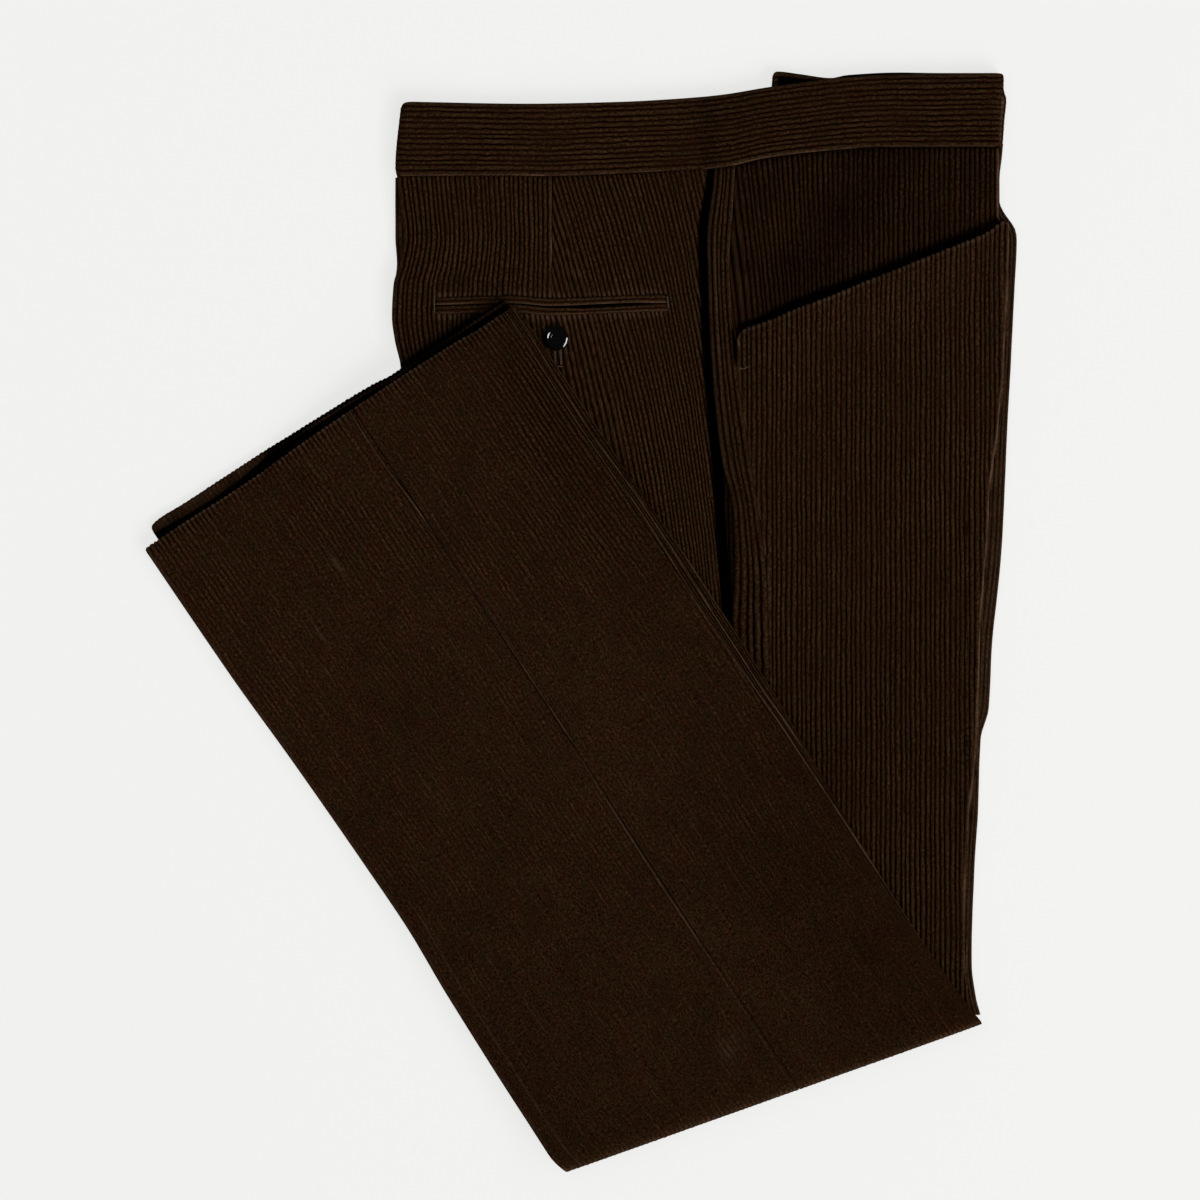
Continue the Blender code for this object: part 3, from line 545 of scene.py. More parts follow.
def band(left_end, right_end, top_of, low, seed):
    """x runs along the band and y from its seam to its top edge; both edges and ends turn down.

    Gives the grid, how far each place is from the right end, and the finish of its layer.
    """
    across = wales_across(BAND_DEPTH, SEWN_WALE)
    depth = across * BAND_DEPTH
    # rows lie closer at both ends, and where the far band's hump begins
    along = np.unique(np.concatenate([
        [0, 0.001, 0.003, 0.006, 0.01], np.linspace(0.015, 0.985, 110),
        np.linspace(0.608, 0.63, 14), [0.99, 0.994, 0.997, 0.999, 1]]))[:, None]
    start = left_end(depth) + rounded(BAND_DEPTH - depth, 4.8, 3.8)
    end = right_end(depth) - rounded(BAND_DEPTH - depth, 3.0, 1.8)
    x = lerp(start, end, along)
    y = lerp(WAIST_SEAM(x) + SEAM / 2, top_of(x), across)
    y = y + 0.35 * wander(x, 9 * across + seed, 26) * np.sin(np.pi * across)
    z = low + 0.35 * wander(x + 40, 2 * y, 45)
    z = z - rounded(depth, 1.3, 1.0) - rounded(BAND_DEPTH - depth, 2.2, 1.8)
    inward = np.minimum(x - start, end - x)
    z = z - rounded(inward, 3.2, 3.0) + crease(x, y, (74, 266), (76, 314), 4.5, -0.7)
    # a painted highlight along the turned lower edge, and a faint pale line along the top fold
    rub = 0.95 * bell(depth - 0.5, 0.4) * (0.8 + 0.3 * wander(x, y, 20))
    rub = rub * (1 - 0.6 * ramp(140, 190, x)) * ramp(0.5, 5, inward)
    rub = rub + 0.12 * bell(depth - 42.2, 0.6)
    finish = {"pile": 0.6 * (0.2 + 0.8 * ramp(0.5, 4.5, inward)),
              "nap": 0.74 + 0.16 * wander(x, 2 * y, 33), "rub": np.clip(rub, 0, 1)}
    return grid(x, y, z), end - x, finish


near_band, _, finish = band(
    curve((0, -109.8), (5, -110.8), (43, -107.2)),
    curve((0, 251.2), (10, 250.7), (27, 251.3), (33, 253.3), (43, 253.4)), BAND_TOP, 9.2, 1.0)
# painted shade: a soft hollow above the deep fold in the back panel, and a little to its right
near_x = near_band[..., 0]
hollow = 0.3 * bell(near_x - 75, 7)
hollow = hollow + 0.08 * ramp(60, 110, near_x) + 0.1 * bell(near_x - 93, 13)
waistband_near = garment_piece("waistband_near_cloth", ["waistband_near"],
                               layer(near_band, thickness=2.8, painted_shade=hollow, **finish))

far_band, from_end, finish = band(
    curve((0, -106.5), (43, -106.5)),
    curve((0, 252.8), (5, 253.3), (16, 254.1), (28, 255.2), (33, 253.8), (43, 252.9)),
    FAR_BAND_TOP, 5.7, 3.0)
far_x, far_y = far_band[..., 0], far_band[..., 1]
# painted shade: the near band shades it, but for its top edge and its right end, which is pale
shade = 0.98 * ramp(2.4, 3.6, FAR_BAND_TOP(far_x) - far_y) * fall(240, 246, far_x)
shade = shade * np.where(far_x < 140, ramp(117.2, 119, far_x), 1)
shade = np.maximum(shade, 0.95 * ramp(150, 158, far_x) * fall(236, 244, far_x))
shade = np.maximum(shade, 0.8 * ramp(4, 5, from_end) * ramp(236, 244, far_x))
pale_end = bell(from_end - 2.4, 0.6) * fall(312, 316, far_y)
finish["rub"] = 1.1 * pale_end * (0.75 + 0.35 * wander(far_y, far_x, 6))
waistband_far = garment_piece("waistband_far_cloth", ["waistband_far"],
                              layer(far_band, thickness=5.3, painted_shade=np.maximum(shade, 0.1), **finish))


# --- Back panel ------------------------------------------------------------------------------
# One panel from the centre back to the side seam. A dart takes seven wales out of it at the waist,
# so those on its front side lean to the front. A deep fold hangs beside the side seam: the panel
# dives into it and comes out again as a strip with its wales along the fold.

DART_X, DART_TIP_Y, DART_WALES = -17.0, 194.0, 7
SEAT_LEFT, HIP_RIGHT = -110.0, 80.0      # where the first and the last wale start
# (y, x) of the two sides of the deep fold's mouth
FOLD_LEFT = curve((270, 77), (264.6, 76.5), (228.6, 71.7), (192.6, 72.9), (153, 74.7),
                  (108.6, 78.3), (64.2, 81.3), (30.6, 83.7), (0, 86), (-40, 88))
FOLD_RIGHT = curve((270, 79.8), (264.6, 79.5), (228.6, 75.3), (192.6, 76.3), (153, 78.2),
                   (121, 80.8), (95, 84.4), (64.2, 90.9), (30.6, 91.7), (0, 90), (-40, 91))
# (y, 0 to 1) how pale the dart's seam is worn
dart_worn = curve((185, 0), (192, 0.5), (199, 0.3), (214, 0.35), (223, 0.95), (239, 1), (247, 0.5),
                  (268, 0.4))
# (y, mm to the front for each mm down) how far the hip's wales lean
wale_lean = curve((-20, 0.1), (0, 0.12), (60, 0.17), (150, 0.25), (265, 0.31))


def trace(start_x, start_y, lean, stop, shares, first=(0.0,)):
    """Columns that run down the garment from their starts until stop(x, y).

    x grows by lean(x, y) for each step down. Rows lie at the first depths in mm, then at shares of
    what is left of each column.
    """
    depth = np.arange(0, 520.0)
    x = np.empty((len(depth), len(start_x)))
    x[0] = start_x
    for i in range(1, len(depth)):
        x[i] = x[i - 1] + lean(x[i - 1], start_y - depth[i - 1])
    y = start_y - depth[:, None]
    length = stop(x, y).argmax(0).astype(float)
    # the first depths take up no more than 0.6 of a short column
    near = np.array(first)[:, None] * np.minimum(1, 0.6 * length / max(first[-1], 1))
    at = np.concatenate([near, lerp(near[-1], length, shares[1:, None])])
    low = at.astype(int)
    here = np.take_along_axis(x, low, 0)
    there = np.take_along_axis(x, np.minimum(low + 1, len(depth) - 1), 0)
    return lerp(here, there, at - low), start_y - at


def back_panel():
    """The panel as far as the deep fold, with its wales traced down from the waist seam.

    Its height is near_face less 6 mm in the fold, with slow waves and with turned-down edges.
    """
    seat_x = lerp(SEAT_LEFT, DART_X, wales_across(DART_X - SEAT_LEFT))
    dart_y = np.linspace(DART_TIP_Y, WAIST_SEAM(DART_X), COLUMNS * DART_WALES + 1)
    hip_x = lerp(DART_X, HIP_RIGHT, wales_across(HIP_RIGHT - DART_X)[1:])
    # the seat's wales, those that the dart cuts off, which start on its seam, and the hip's
    start_x = np.concatenate([seat_x, DART_X + 0.5 * (dart_y[1:] - DART_TIP_Y) / 72, hip_x])
    start_y = np.concatenate([WAIST_SEAM(seat_x), dart_y[1:], WAIST_SEAM(hip_x)]) + WAIST_TUCK
    right = np.arange(len(start_x)) >= len(seat_x)

    def lean(x, y):
        inward = np.clip((x - CENTRE_BACK(y)) / (DART_X - CENTRE_BACK(y)), 0, 1)
        outline = (CENTRE_BACK(y - 1) - CENTRE_BACK(y + 1)) / 2 * (1 - inward)
        spread = np.where(y > DART_TIP_Y, right, ramp(-75, 20, x))
        by_fold = 1 - 0.3 * ramp(-50, 0, x - FOLD_LEFT(y))
        return outline + wale_lean(y) * spread * by_fold

    def stop(x, y):
        return under_leg(x, y) | (x > FOLD_LEFT(y) + 5) | (y < -30)

    x, y = trace(start_x, start_y, lean, stop, np.linspace(0, 1, 134))
    dive = ramp(-4.5, 3.5, x - FOLD_LEFT(y))
    z = near_face(x, y) - 6.0 * dive - rounded(x - CENTRE_BACK(y), 3.0, 2.9)
    z = z + 0.45 * wander(x, y, 38) + 0.25 * wander(y, x, 17)
    z = z - under_band(x, y)
    # the dart's seam pulls the cloth down on both sides
    by_dart = np.where(y > DART_TIP_Y - 3, np.abs(x - DART_X), 9)
    z = z - 0.5 * bell(by_dart, 1.6)
    x = x + 0.35 * wander(y, 3 * x, 34) * ramp(0, 6, x - CENTRE_BACK(y)) * (1 - dive)
    rub = 0.95 * bell(x - DART_X + 0.5, 0.45) * dart_worn(y) * ~right
    # the pile stands up where the welts are sewn over it
    off_lip = np.abs(y - POCKET_LIP(x) + 0.8)
    tips = crests(len(start_x))
    in_pocket = ramp(-90, -84, x) * fall(48, 52, x)
    rub = rub + 0.5 * tips**2 * in_pocket * bell(off_lip - 6.4, 1.6)
    nap = 0.92 + 0.12 * wander(x, y, 60)
    # painted shade: black in the deep fold and between the welts' lips, and a painted shadow of the
    # lower leg's hem on the seat
    in_pocket = in_pocket * fall(1.5, 2.4, off_lip)
    s, t = leg_place(x, y)
    by_hem = 0.9 * ramp(-13.6, -11.0, s) * (t < FRONT_CREASE_T(s) + 1) * fall(0, 6, s)
    painted_shade = np.maximum(np.maximum(0.99 * ramp(-2.9, -0.9, x - FOLD_LEFT(y)), in_pocket), by_hem)
    return layer(grid(x, y, z), nap=nap, rub=rub, painted_shade=painted_shade)


def fold_strip():
    """The strip between the deep fold and the side seam; its fold stands up beside the deep fold's
    opening.
    """
    share = wales_across(16, 3.3)
    y = np.linspace(272, -36, 110)[:, None]
    left = FOLD_RIGHT(y)
    x = lerp(left, SIDE_SEAM(y) - SEAM / 2, share)
    lift = 4.2 * ramp(12, 70, y) * ramp(-4, 34, WAIST_SEAM(x) - y)
    z = near_face(x, y) + lift * fall(0.25, 1.0, share) - rounded(x - left, 3.0, 7.0)
    z = z - rounded(SIDE_SEAM(y) - x, 1.2, 0.6)
    at_seam = SIDE_SEAM(y) - x
    rub = 0.95 * bell(at_seam - 0.45, 0.3) * (0.35 + 0.65 * ramp(176, 204, y))
    # painted highlights on the lit edge of the fold, and on the pile's ends along the wales beside
    # it
    rub = rub + 0.45 * bell(x - left - 1.7, 0.4) * ramp(40, 110, y)
    rub = rub + 0.3 * bell(x - left - 4.9, 0.4) * ramp(20, 90, y)
    # painted shade: black in the fold and under the mouth's lower end, and a little all over
    by_mouth = 0.98 * fall(1.2, 3.0, at_seam) * ramp(150, 156, y) * fall(172, 179, y)
    painted_shade = np.maximum(0.99 * fall(0.4, 1.4, x - left), by_mouth)
    painted_shade = np.maximum(painted_shade, 0.16)
    z = z - under_band(x, y)
    return layer(grid(x, np.minimum(y, WAIST_SEAM(x) + WAIST_TUCK), z), rub=rub, painted_shade=painted_shade)


back_near = garment_piece("back_panel_near_cloth", ["back_panel_near"], back_panel(), fold_strip())


# --- Back pocket -----------------------------------------------------------------------------
# A double-welt pocket: two narrow strips of the corduroy, with their wales along them, meet at a
# lip that gapes a little. A bar tack closes each end. A black resin button, sewn on through four
# holes, is fastened in a worked buttonhole below it.

POCKET_LEFT, POCKET_RIGHT = -87.0, 52.0
WELT_WALES = 2


def welt(low, high, worn_at, worn):
    """y runs across the strip from low(x) to high(x), and both edges are turned under."""
    x = np.linspace(POCKET_LEFT, POCKET_RIGHT, 60)[:, None]
    share = np.linspace(0, 1, COLUMNS * WELT_WALES + 1)
    width = high(x) - low(x)
    y = POCKET_LIP(x) + low(x) + share * width
    z = near_face(x, y) + 1.5 + 0.1 * wander(x, y, 22)
    z = z - rounded(np.minimum(share, 1 - share) * width, 1.1, 1.1)
    z = z - 0.8 * fall(0, 3, np.minimum(x - POCKET_LEFT, POCKET_RIGHT - x))
    rub = worn * bell((share - worn_at) * width, 0.38) * (0.8 + 0.25 * wander(x, y, 15))
    return layer(grid(x, y, z), pile=0.25, thickness=1.0, rub=np.clip(rub, 0, 1), nap=0.7)


# the lips touch at the pocket's ends and under the lower leg, and gape in between
lip_gape = curve((-30, -0.7), (-12, -1.2), (4, -2), (22, -1.9), (40, -1.4), (50, -1.15), (52, -1.1))
welt_upper = garment_piece(
    "back_pocket_welt_upper_cloth", ["back_pocket_welt_upper"],
    welt(lambda x: -0.3 - 0.75 * ramp(30, 51, x), lambda x: 4.4 + 0 * x, 0.11, 0.95))
welt_lower = garment_piece("back_pocket_welt_lower_cloth", ["back_pocket_welt_lower"],
                           welt(lambda x: -5.9 + 0 * x, lip_gape, 0.14, 0.4))


def spun_thread(add, ply, hollow):
    """Polyester sewing thread: matt, with its ply as a fine twist of its colour and painted shade
    between the strands.
    """
    place = add("TexCoord", output="Object")
    twist = add("TexWave", place, 700.0, 2.0, bands_direction="DIAGONAL", output="Fac")
    return {"Base Color": add("Mix", twist, linear(hollow), linear(ply), data_type="RGBA"),
            "Normal": add("Bump", 0.4, 0.1 * MM, None, twist),
            "Roughness": 0.75, "Specular IOR Level": 0.15}


def polished_black_resin(add):
    """Cast polyester, polished black: sharp bright arcs on its rim, over a faintly cloudy body."""
    cloud = add("TexNoise", add("TexCoord", output="Object"), 350.0, 3.0)
    return {"Base Color": add("Mix", cloud, linear("#010101"), linear("#050505"), data_type="RGBA"),
            "Roughness": add("MapRange", cloud, 0.0, 1.0, 0.04, 0.1),
            "IOR": 1.5, "Specular IOR Level": 1.0}


thread_brown = material("spun_polyester_thread", spun_thread, "#5c5044", "#1a120c")
thread_dark = material("spun_polyester_thread_dark", spun_thread, "#35261b", "#140d08")
resin = material("polished_polyester_resin", polished_black_resin)


def ring_faces(number):
    """The faces between rings of numbered points, from one ring to the next."""
    after = np.roll(number, -1, 1)
    return np.stack([number[:-1], after[:-1], after[1:], number[1:]], 2).reshape(-1, 4)


def tube(points, width, height, wraps=0.0, sides=10):
    """A closed tube along a path of points, narrowing at its ends.

    radius = half width * (0.5 + 0.5 |sin(pi * wraps * share)|) * (1 - (2 share - 1)^8) ^ 0.5, and
    with no wraps the factor in brackets with the sine is 1.
    """
    count = len(points)
    share = np.linspace(0, 1, count)[:, None]
    tangent = np.gradient(points, axis=0)
    tangent /= np.linalg.norm(tangent, axis=1, keepdims=True)
    side = np.cross(tangent, (0.0, 0.0, 1.0))
    side /= np.linalg.norm(side, axis=1, keepdims=True) + 1e-9
    up = np.cross(side, tangent)
    angle = np.linspace(0, 2 * np.pi, sides, endpoint=False)
    swell = (0.5 + 0.5 * np.abs(np.sin(np.pi * wraps * share))) if wraps else 1.0
    taper = np.sqrt(np.maximum(1 - (2 * share - 1) ** 8, 0.02)) * swell
    around = (side[:, None] * (width / 2 * np.cos(angle))[None, :, None]
              + up[:, None] * (height / 2 * np.sin(angle))[None, :, None])
    ring = points[:, None] + around * taper[:, :, None]
    number = np.arange(count * sides).reshape(count, sides)
    return ring.reshape(-1, 3), [ring_faces(number), number[:1, ::-1], number[-1:]]


def trim_piece(name, finish, slot, replaced, *shells):
    """Joins closed shells into one smooth piece."""
    mesh = join_shells(name, shells)
    mesh.polygons.foreach_set("use_smooth", np.ones(len(mesh.polygons), dtype=bool))
    return add_piece(name, mesh, finish, replaced)


def line(start, end, count):
    """Points at even distances from start to end."""
    return lerp(np.array(start, dtype=float), np.array(end, dtype=float),
                np.linspace(0, 1, count)[:, None])


def bar(x0, y0, x1, y1, lift, width, height):
    """A row of close stitches wrapped over two laid threads, bunched each 1.4 mm."""
    length = float(np.hypot(x1 - x0, y1 - y0))
    low, high = near_face(x0, y0) + lift, near_face(x1, y1) + lift
    path = line((x0, y0, low), (x1, y1, high), int(length / 0.09))
    return tube(path, width, height, wraps=length / 1.4)


BUTTON_X, BUTTON_Y, BUTTON_RADIUS, BUTTON_HEIGHT = -14.7, 169.2, 7.6, 2.6
BUTTON_LOW = 0.9         # its back stands this far off the cloth's ground
BUTTON_FACE = 0.66       # height of the dish in its face, as a share of the whole
BUTTONHOLE_X, BUTTONHOLE_TOP, BUTTONHOLE_LOW = -13.4, 173.0, 153.4
left_lip, right_lip = float(POCKET_LIP(POCKET_LEFT)), float(POCKET_LIP(POCKET_RIGHT))
trim_piece(
    "back_pocket_bar_tacks", thread_brown, "corduroy", [],
    bar(POCKET_LEFT - 0.2, left_lip - 4.8, POCKET_LEFT - 0.5, left_lip + 3.8, 1.7, 1.1, 1.0),
    bar(POCKET_RIGHT + 0.6, right_lip - 3.8, POCKET_RIGHT - 0.1, right_lip + 3.4, 1.7, 1.2, 1.0))
trim_piece(
    "back_pocket_buttonhole", thread_brown, "corduroy", [],
    bar(BUTTONHOLE_X - 1.8, BUTTONHOLE_TOP, BUTTONHOLE_X - 1.8, BUTTONHOLE_LOW, 0.65, 1.1, 0.7),
    bar(BUTTONHOLE_X + 1.7, BUTTONHOLE_TOP, BUTTONHOLE_X + 1.7, BUTTONHOLE_LOW, 0.75, 1.3, 0.9),
    bar(BUTTONHOLE_X - 1.9, BUTTONHOLE_LOW - 1.1, BUTTONHOLE_X + 2.6, BUTTONHOLE_LOW - 1.1,
        0.75, 1.2, 0.8))


def button():
    """A profile turned round the button's axis: a rim, a dish in it and a low ring in the dish."""
    profile = np.array([(0.0, 0.0), (0.5, 0.0), (0.78, 0.02), (0.92, 0.12), (0.98, 0.28),
                        (1.0, 0.45), (0.99, 0.6), (0.965, 0.7), (0.93, 0.761), (0.89, 0.822),
                        (0.85, 0.883), (0.81, 0.944), (0.77, 0.985), (0.73, 1.0), (0.7, 0.985),
                        (0.67, 0.944), (0.64, 0.898), (0.61, 0.853), (0.58, 0.807), (0.555, 0.772),
                        (0.53, 0.75), (0.5, 0.762), (0.47, 0.806), (0.44, 0.83), (0.4, 0.815),
                        (0.37, 0.77), (0.34, 0.724), (0.3, 0.69), (0.25, 0.67), (0.0, 0.66)])
    sides = 96
    angle = np.linspace(0, 2 * np.pi, sides, endpoint=False)
    radius, height = (profile * (BUTTON_RADIUS, BUTTON_HEIGHT)).T[:, 1:-1, None]
    low = near_face(BUTTON_X, BUTTON_Y) + BUTTON_LOW
    ring = grid(BUTTON_X + radius * np.cos(angle), BUTTON_Y + radius * np.sin(angle), low + height)
    ends = np.array([(BUTTON_X, BUTTON_Y, low),
                     (BUTTON_X, BUTTON_Y, low + BUTTON_FACE * BUTTON_HEIGHT)])
    number = np.arange(ring.shape[0] * sides).reshape(-1, sides)
    after = np.roll(number, -1, 1)
    below, above = np.full(sides, number.size), np.full(sides, number.size + 1)
    return np.concatenate([ring.reshape(-1, 3), ends]), [
        ring_faces(number), np.column_stack([after[0], number[0], below]),
        np.column_stack([number[-1], after[-1], above])]


def drilled(blank, places, radius):
    """Cuts round holes through a piece with a Boolean, and leaves only the finished mesh."""
    drills = [tube(line((x, y, 5.0), (x, y + 0.001, 20.0), 4), 2 * radius, 2 * radius, sides=20)
              for x, y in places]
    cutter = add_object("holes", join_shells("holes", drills))
    cut = blank.modifiers.new("holes", "BOOLEAN")
    cut.operation, cut.solver, cut.object = "DIFFERENCE", "EXACT", cutter
    graph = bpy.context.evaluated_depsgraph_get()
    finished = bpy.data.meshes.new_from_object(blank.evaluated_get(graph))
    blank.modifiers.clear()
    blank.data = finished
    bpy.data.objects.remove(cutter)


HOLE_SPREAD, HOLE_RADIUS = 1.35, 0.7
holes = [(BUTTON_X + i * HOLE_SPREAD, BUTTON_Y + j * HOLE_SPREAD) for i in (-1, 1) for j in (-1, 1)]
pocket_button = trim_piece("resin_button", resin, "button", ["back_pocket_button"], button())
drilled(pocket_button, holes, HOLE_RADIUS)


def over_thread(x):
    """The button's thread from one hole to the next: a low arch."""
    share = np.linspace(0, 1, 14)
    low = near_face(BUTTON_X, BUTTON_Y) + BUTTON_LOW + 0.68 * BUTTON_HEIGHT
    z = low - 0.6 + 0.95 * np.sin(np.pi * share) ** 0.5
    y = BUTTON_Y + lerp(-HOLE_SPREAD, HOLE_SPREAD, share)
    return tube(np.stack([np.full_like(share, x), y, z], 1), 0.6, 0.55, sides=8)


# the thread is black too, and has the button's own finish
trim_piece("back_pocket_button_thread", resin, "button", [],
           over_thread(BUTTON_X - HOLE_SPREAD), over_thread(BUTTON_X + HOLE_SPREAD))


# --- Pocket facing and front panel -----------------------------------------------------------
# The facing fills the side between the waist seam and the slanted pocket mouth. The front panel's
# upper edge is the pocket mouth: a turned edge that stands well off the facing, and is sewn down
# at both ends. Below it, the panel runs down to the knee with its wales upright.

FACING_LEFT, FACING_RIGHT = 92.7, 251.0
FRONT_LEFT, FRONT_RIGHT, FRONT_WALE = 93.4, 256.8, 2.97
# (x, mm) how far above the mouth's edge its painted shade lies on the facing
MOUTH_SHADE = curve((92.7, 14), (95, 10), (98, 7), (103, 5.8), (107, 6), (112, 7), (117, 7.9),
                    (123, 8.6), (145, 8.4), (200, 9.2), (255, 9.4))


def pocket_facing():
    """Wales traced down from the waist seam and the side seam to behind the pocket mouth."""
    # four wales start on the side seam, and the others on the waist seam
    up = np.linspace(0, 1, COLUMNS * 4 + 1)
    seam_y = lerp(174, WAIST_SEAM(FACING_LEFT) + WAIST_TUCK, up)
    share = wales_across(FACING_RIGHT - FACING_LEFT, SEWN_WALE)[1:]
    top_x = lerp(FACING_LEFT, FACING_RIGHT, share)
    start_x = np.concatenate([SIDE_SEAM(seam_y) + SEAM / 2, top_x])
    start_y = np.concatenate([seam_y, WAIST_SEAM(top_x) + WAIST_TUCK])

    def stop(x, y):
        mouth = POCKET_MOUTH(x) - 12 * ramp(96, 125, x)
        return (y < mouth) | (y < 160)

    x, y = trace(start_x, start_y, lambda x, y: 0.12 * fall(92, 165, x), stop,
                 1 - (1 - np.linspace(0, 1, 46)) ** 1.7)
    z = near_face(x, y) + 0.3 * wander(x, y, 40) + 0.2 * wander(y, x, 19)
    z = z - under_band(x, y) - rounded(CREASE(y) - x, 3.0, 2.9)
    z = z - rounded(x - SIDE_SEAM(y), 1.2, 0.5)
    x = x + 0.3 * wander(y, 3 * x, 30) * ramp(0, 5, x - SIDE_SEAM(y)) * ramp(0, 5, CREASE(y) - x)
    # painted shade: the whole facing is darker, and darkest behind the mouth's edge
    shade = MOUTH_SHADE(x)
    painted_shade = lerp(0.42, 0.99, fall(0.5 * shade, shade + 0.8, y - POCKET_MOUTH(x)))
    painted_shade = np.clip(painted_shade + 0.15 * wander(x, y, 42), 0, 0.99)
    fold = bell(CREASE(y) - x - 1.7, 0.6) * ramp(0, 3, WAIST_SEAM(x) - y)
    return layer(grid(x, y, z), pile=0.65, nap=0.88 + 0.16 * wander(y, x, 30), rub=0.85 * fold,
                 painted_shade=painted_shade * (1 - 0.9 * fold))


facing = garment_piece("pocket_facing_near_cloth", ["pocket_facing_near"], pocket_facing())

MOUTH_LIFT = 4.4         # how far the mouth's edge stands off the facing
MOUTH_ROLL = 36.0        # the panel comes down again over this depth below it


def mouth_lift(x, depth):
    """How far the mouth's edge stands off the facing between the two ends that are sewn down."""
    ends = ramp(94, 112, x) * (1 - 0.85 * ramp(222, 250, x))
    return MOUTH_LIFT * ends * fall(0, MOUTH_ROLL, depth)


def front_height(x, y, depth):
    """Height of the front panel between its wales, at a depth below its mouth.

    The seam allowance ends 6 mm below the turned edge and shows through as a soft step.
    """
    z = near_face(x, y) + mouth_lift(x, depth) + 0.35 * fall(5, 8, depth)
    return z + 0.5 * wander(x, y, 52) + 0.25 * wander(y, x, 21)


def front_panel():
    """Upright wales from the pocket mouth down to the lower leg, and beside it to the knee."""
    x = lerp(FRONT_LEFT, FRONT_RIGHT, wales_across(FRONT_RIGHT - FRONT_LEFT, FRONT_WALE))
    start_y = POCKET_MOUTH(x)

    def stop(x, y):
        outside = (x < SIDE_SEAM(y) + SEAM / 2) | (x > CREASE(y))
        return under_leg(x, y) | (outside & (y < start_y - 3)) | (y < -227)

    x, y = trace(x, start_y, lambda x, y: 0 * x, stop, np.linspace(0, 1, 92),
                 first=(0, 0.25, 0.6, 1.1, 1.8, 3, 5, 8, 12, 17, 23, 29, 36))
    depth = start_y - y
    lift = mouth_lift(x, depth)
    z = front_height(x, y, depth) - rounded(depth, 2.0, 1.9)
    z = z - rounded(CREASE(y) - x, 3.0 + 0.5 * lift, 2.9 + lift)
    z = z - rounded(x - SIDE_SEAM(y), 1.2, 0.5)
    settled = ramp(0, 5, x - SIDE_SEAM(y)) * ramp(0, 5, CREASE(y) - x)
    x = x + 0.35 * wander(y, 3 * x, 36) * settled
    rub = 0.8 * bell(depth - 0.8, 0.9) * crests(x.shape[1])
    rub = rub + 0.2 * bell(x - SIDE_SEAM(y) - 0.5, 0.4)
    rub = rub + 0.95 * bell(CREASE(y) - x - 1.5, 0.5)
    nap = 0.9 + 0.14 * wander(x, y, 70)
    # a dab of pale pile on the corner of the mouth, which is handled most
    rub = rub + bell(x - 94.4, 0.6) * bell(y - 166.3, 2.4)
    # a little shade is painted on its lower half
    broad_shade = 0.12 * fall(-60, 60, y)
    return layer(grid(x, y, z), nap=nap, rub=np.clip(rub, 0, 1), painted_shade=broad_shade)


front_near = garment_piece("front_panel_near_cloth", ["front_panel_near"], front_panel())


STITCH, STITCH_GAP = 2.5, 0.9
STITCHED_BELOW = 5.4     # from the mouth's edge to its row of stitches


def stitches(x, y, z):
    """Stitches of one thread along a path of places: each is a short tube that dips at its ends."""
    places = np.stack([x, y, z], 1)
    run = np.concatenate([[0], np.cumsum(np.linalg.norm(np.diff(places, axis=0), axis=1))])
    starts = np.arange(0.5, run[-1] - STITCH, STITCH + STITCH_GAP)
    shells = []
    for start in starts:
        at = start + np.linspace(0, STITCH, 6)
        path = np.stack([np.interp(at, run, places[:, axis]) for axis in range(3)], 1)
        path[:, 2] -= 0.35 * (np.linspace(-1, 1, 6) ** 4)
        shells.append(tube(path, 0.5, 0.4, sides=5))
    return shells


def on_front(x, y):
    """Height of a thread on the front panel's wales."""
    return front_height(x, y, POCKET_MOUTH(x) - y) + PILE - 0.25


# one row of topstitching below the mouth, and two short rows and a bar tack that hold down its
# lower end
along_mouth = np.linspace(101, 250, 220)
box_y = np.linspace(168.5, 150.5, 40)
stitch_y = POCKET_MOUTH(along_mouth) - STITCHED_BELOW
trim_piece("pocket_mouth_topstitching", thread_dark, "corduroy", [],
           *stitches(along_mouth, stitch_y, on_front(along_mouth, stitch_y)))
trim_piece(
    "pocket_mouth_bar_tack", thread_brown, "corduroy", [],
    *stitches(np.full(40, 95.2), box_y, on_front(95.2, box_y)),
    *stitches(np.full(40, 98.2), box_y, on_front(98.2, box_y)),
    bar(94.8, 151.6, 97.4, 150.6, 0.9, 0.8, 0.7), bar(97.2, 150.6, 100.4, 152.3, 0.9, 0.8, 0.7))


# --- Lower leg -------------------------------------------------------------------------------
# Below the knee both legs are folded back over the thighs, so the far leg's outer side comes on
# top: a back and a front panel that meet at the outseam. The near leg's hem lies a little further
# out under them. At both creases the legs' folds show, one on the other.

OUTSEAM_T = 151.0
# (t, s) of the hems of the far leg, which is on top here, and of the near one under it
FAR_HEM_S = curve((0, -3), (20, -3), (50, -2.6), (80, -2.6), (95, -3.3), (130, -4.1), (160, -4.4),
                  (200, -4.2), (225, -3.4), (240, -2.5), (266, -2.6))
NEAR_HEM_S = curve((8, -12.6), (20, -14), (35, -13.4), (95, -13), (110, -12.5), (130, -11.9),
                   (150, -11.3), (170, -10.2), (181, -8.9), (190, -9), (205, -9.8), (262, -10))
# (t, s) where the painted shade of the hem above begins on it
UNDER_HEM_S = curve((8, -9.2), (20, -8.4), (35, -7.4), (50, -7), (65, -7.3), (80, -8.8), (90, -10.5),
                    (100, -14))
# (t, 0 to 1) how bright the painted highlight on its edge is in that shade
NEAR_HEM_LIT = curve((88, 0.4), (110, 0.2), (130, 0.8), (160, 0.65), (185, 0.5), (200, 0.2),
                     (222, 0.3), (240, 0.65), (262, 0.5))
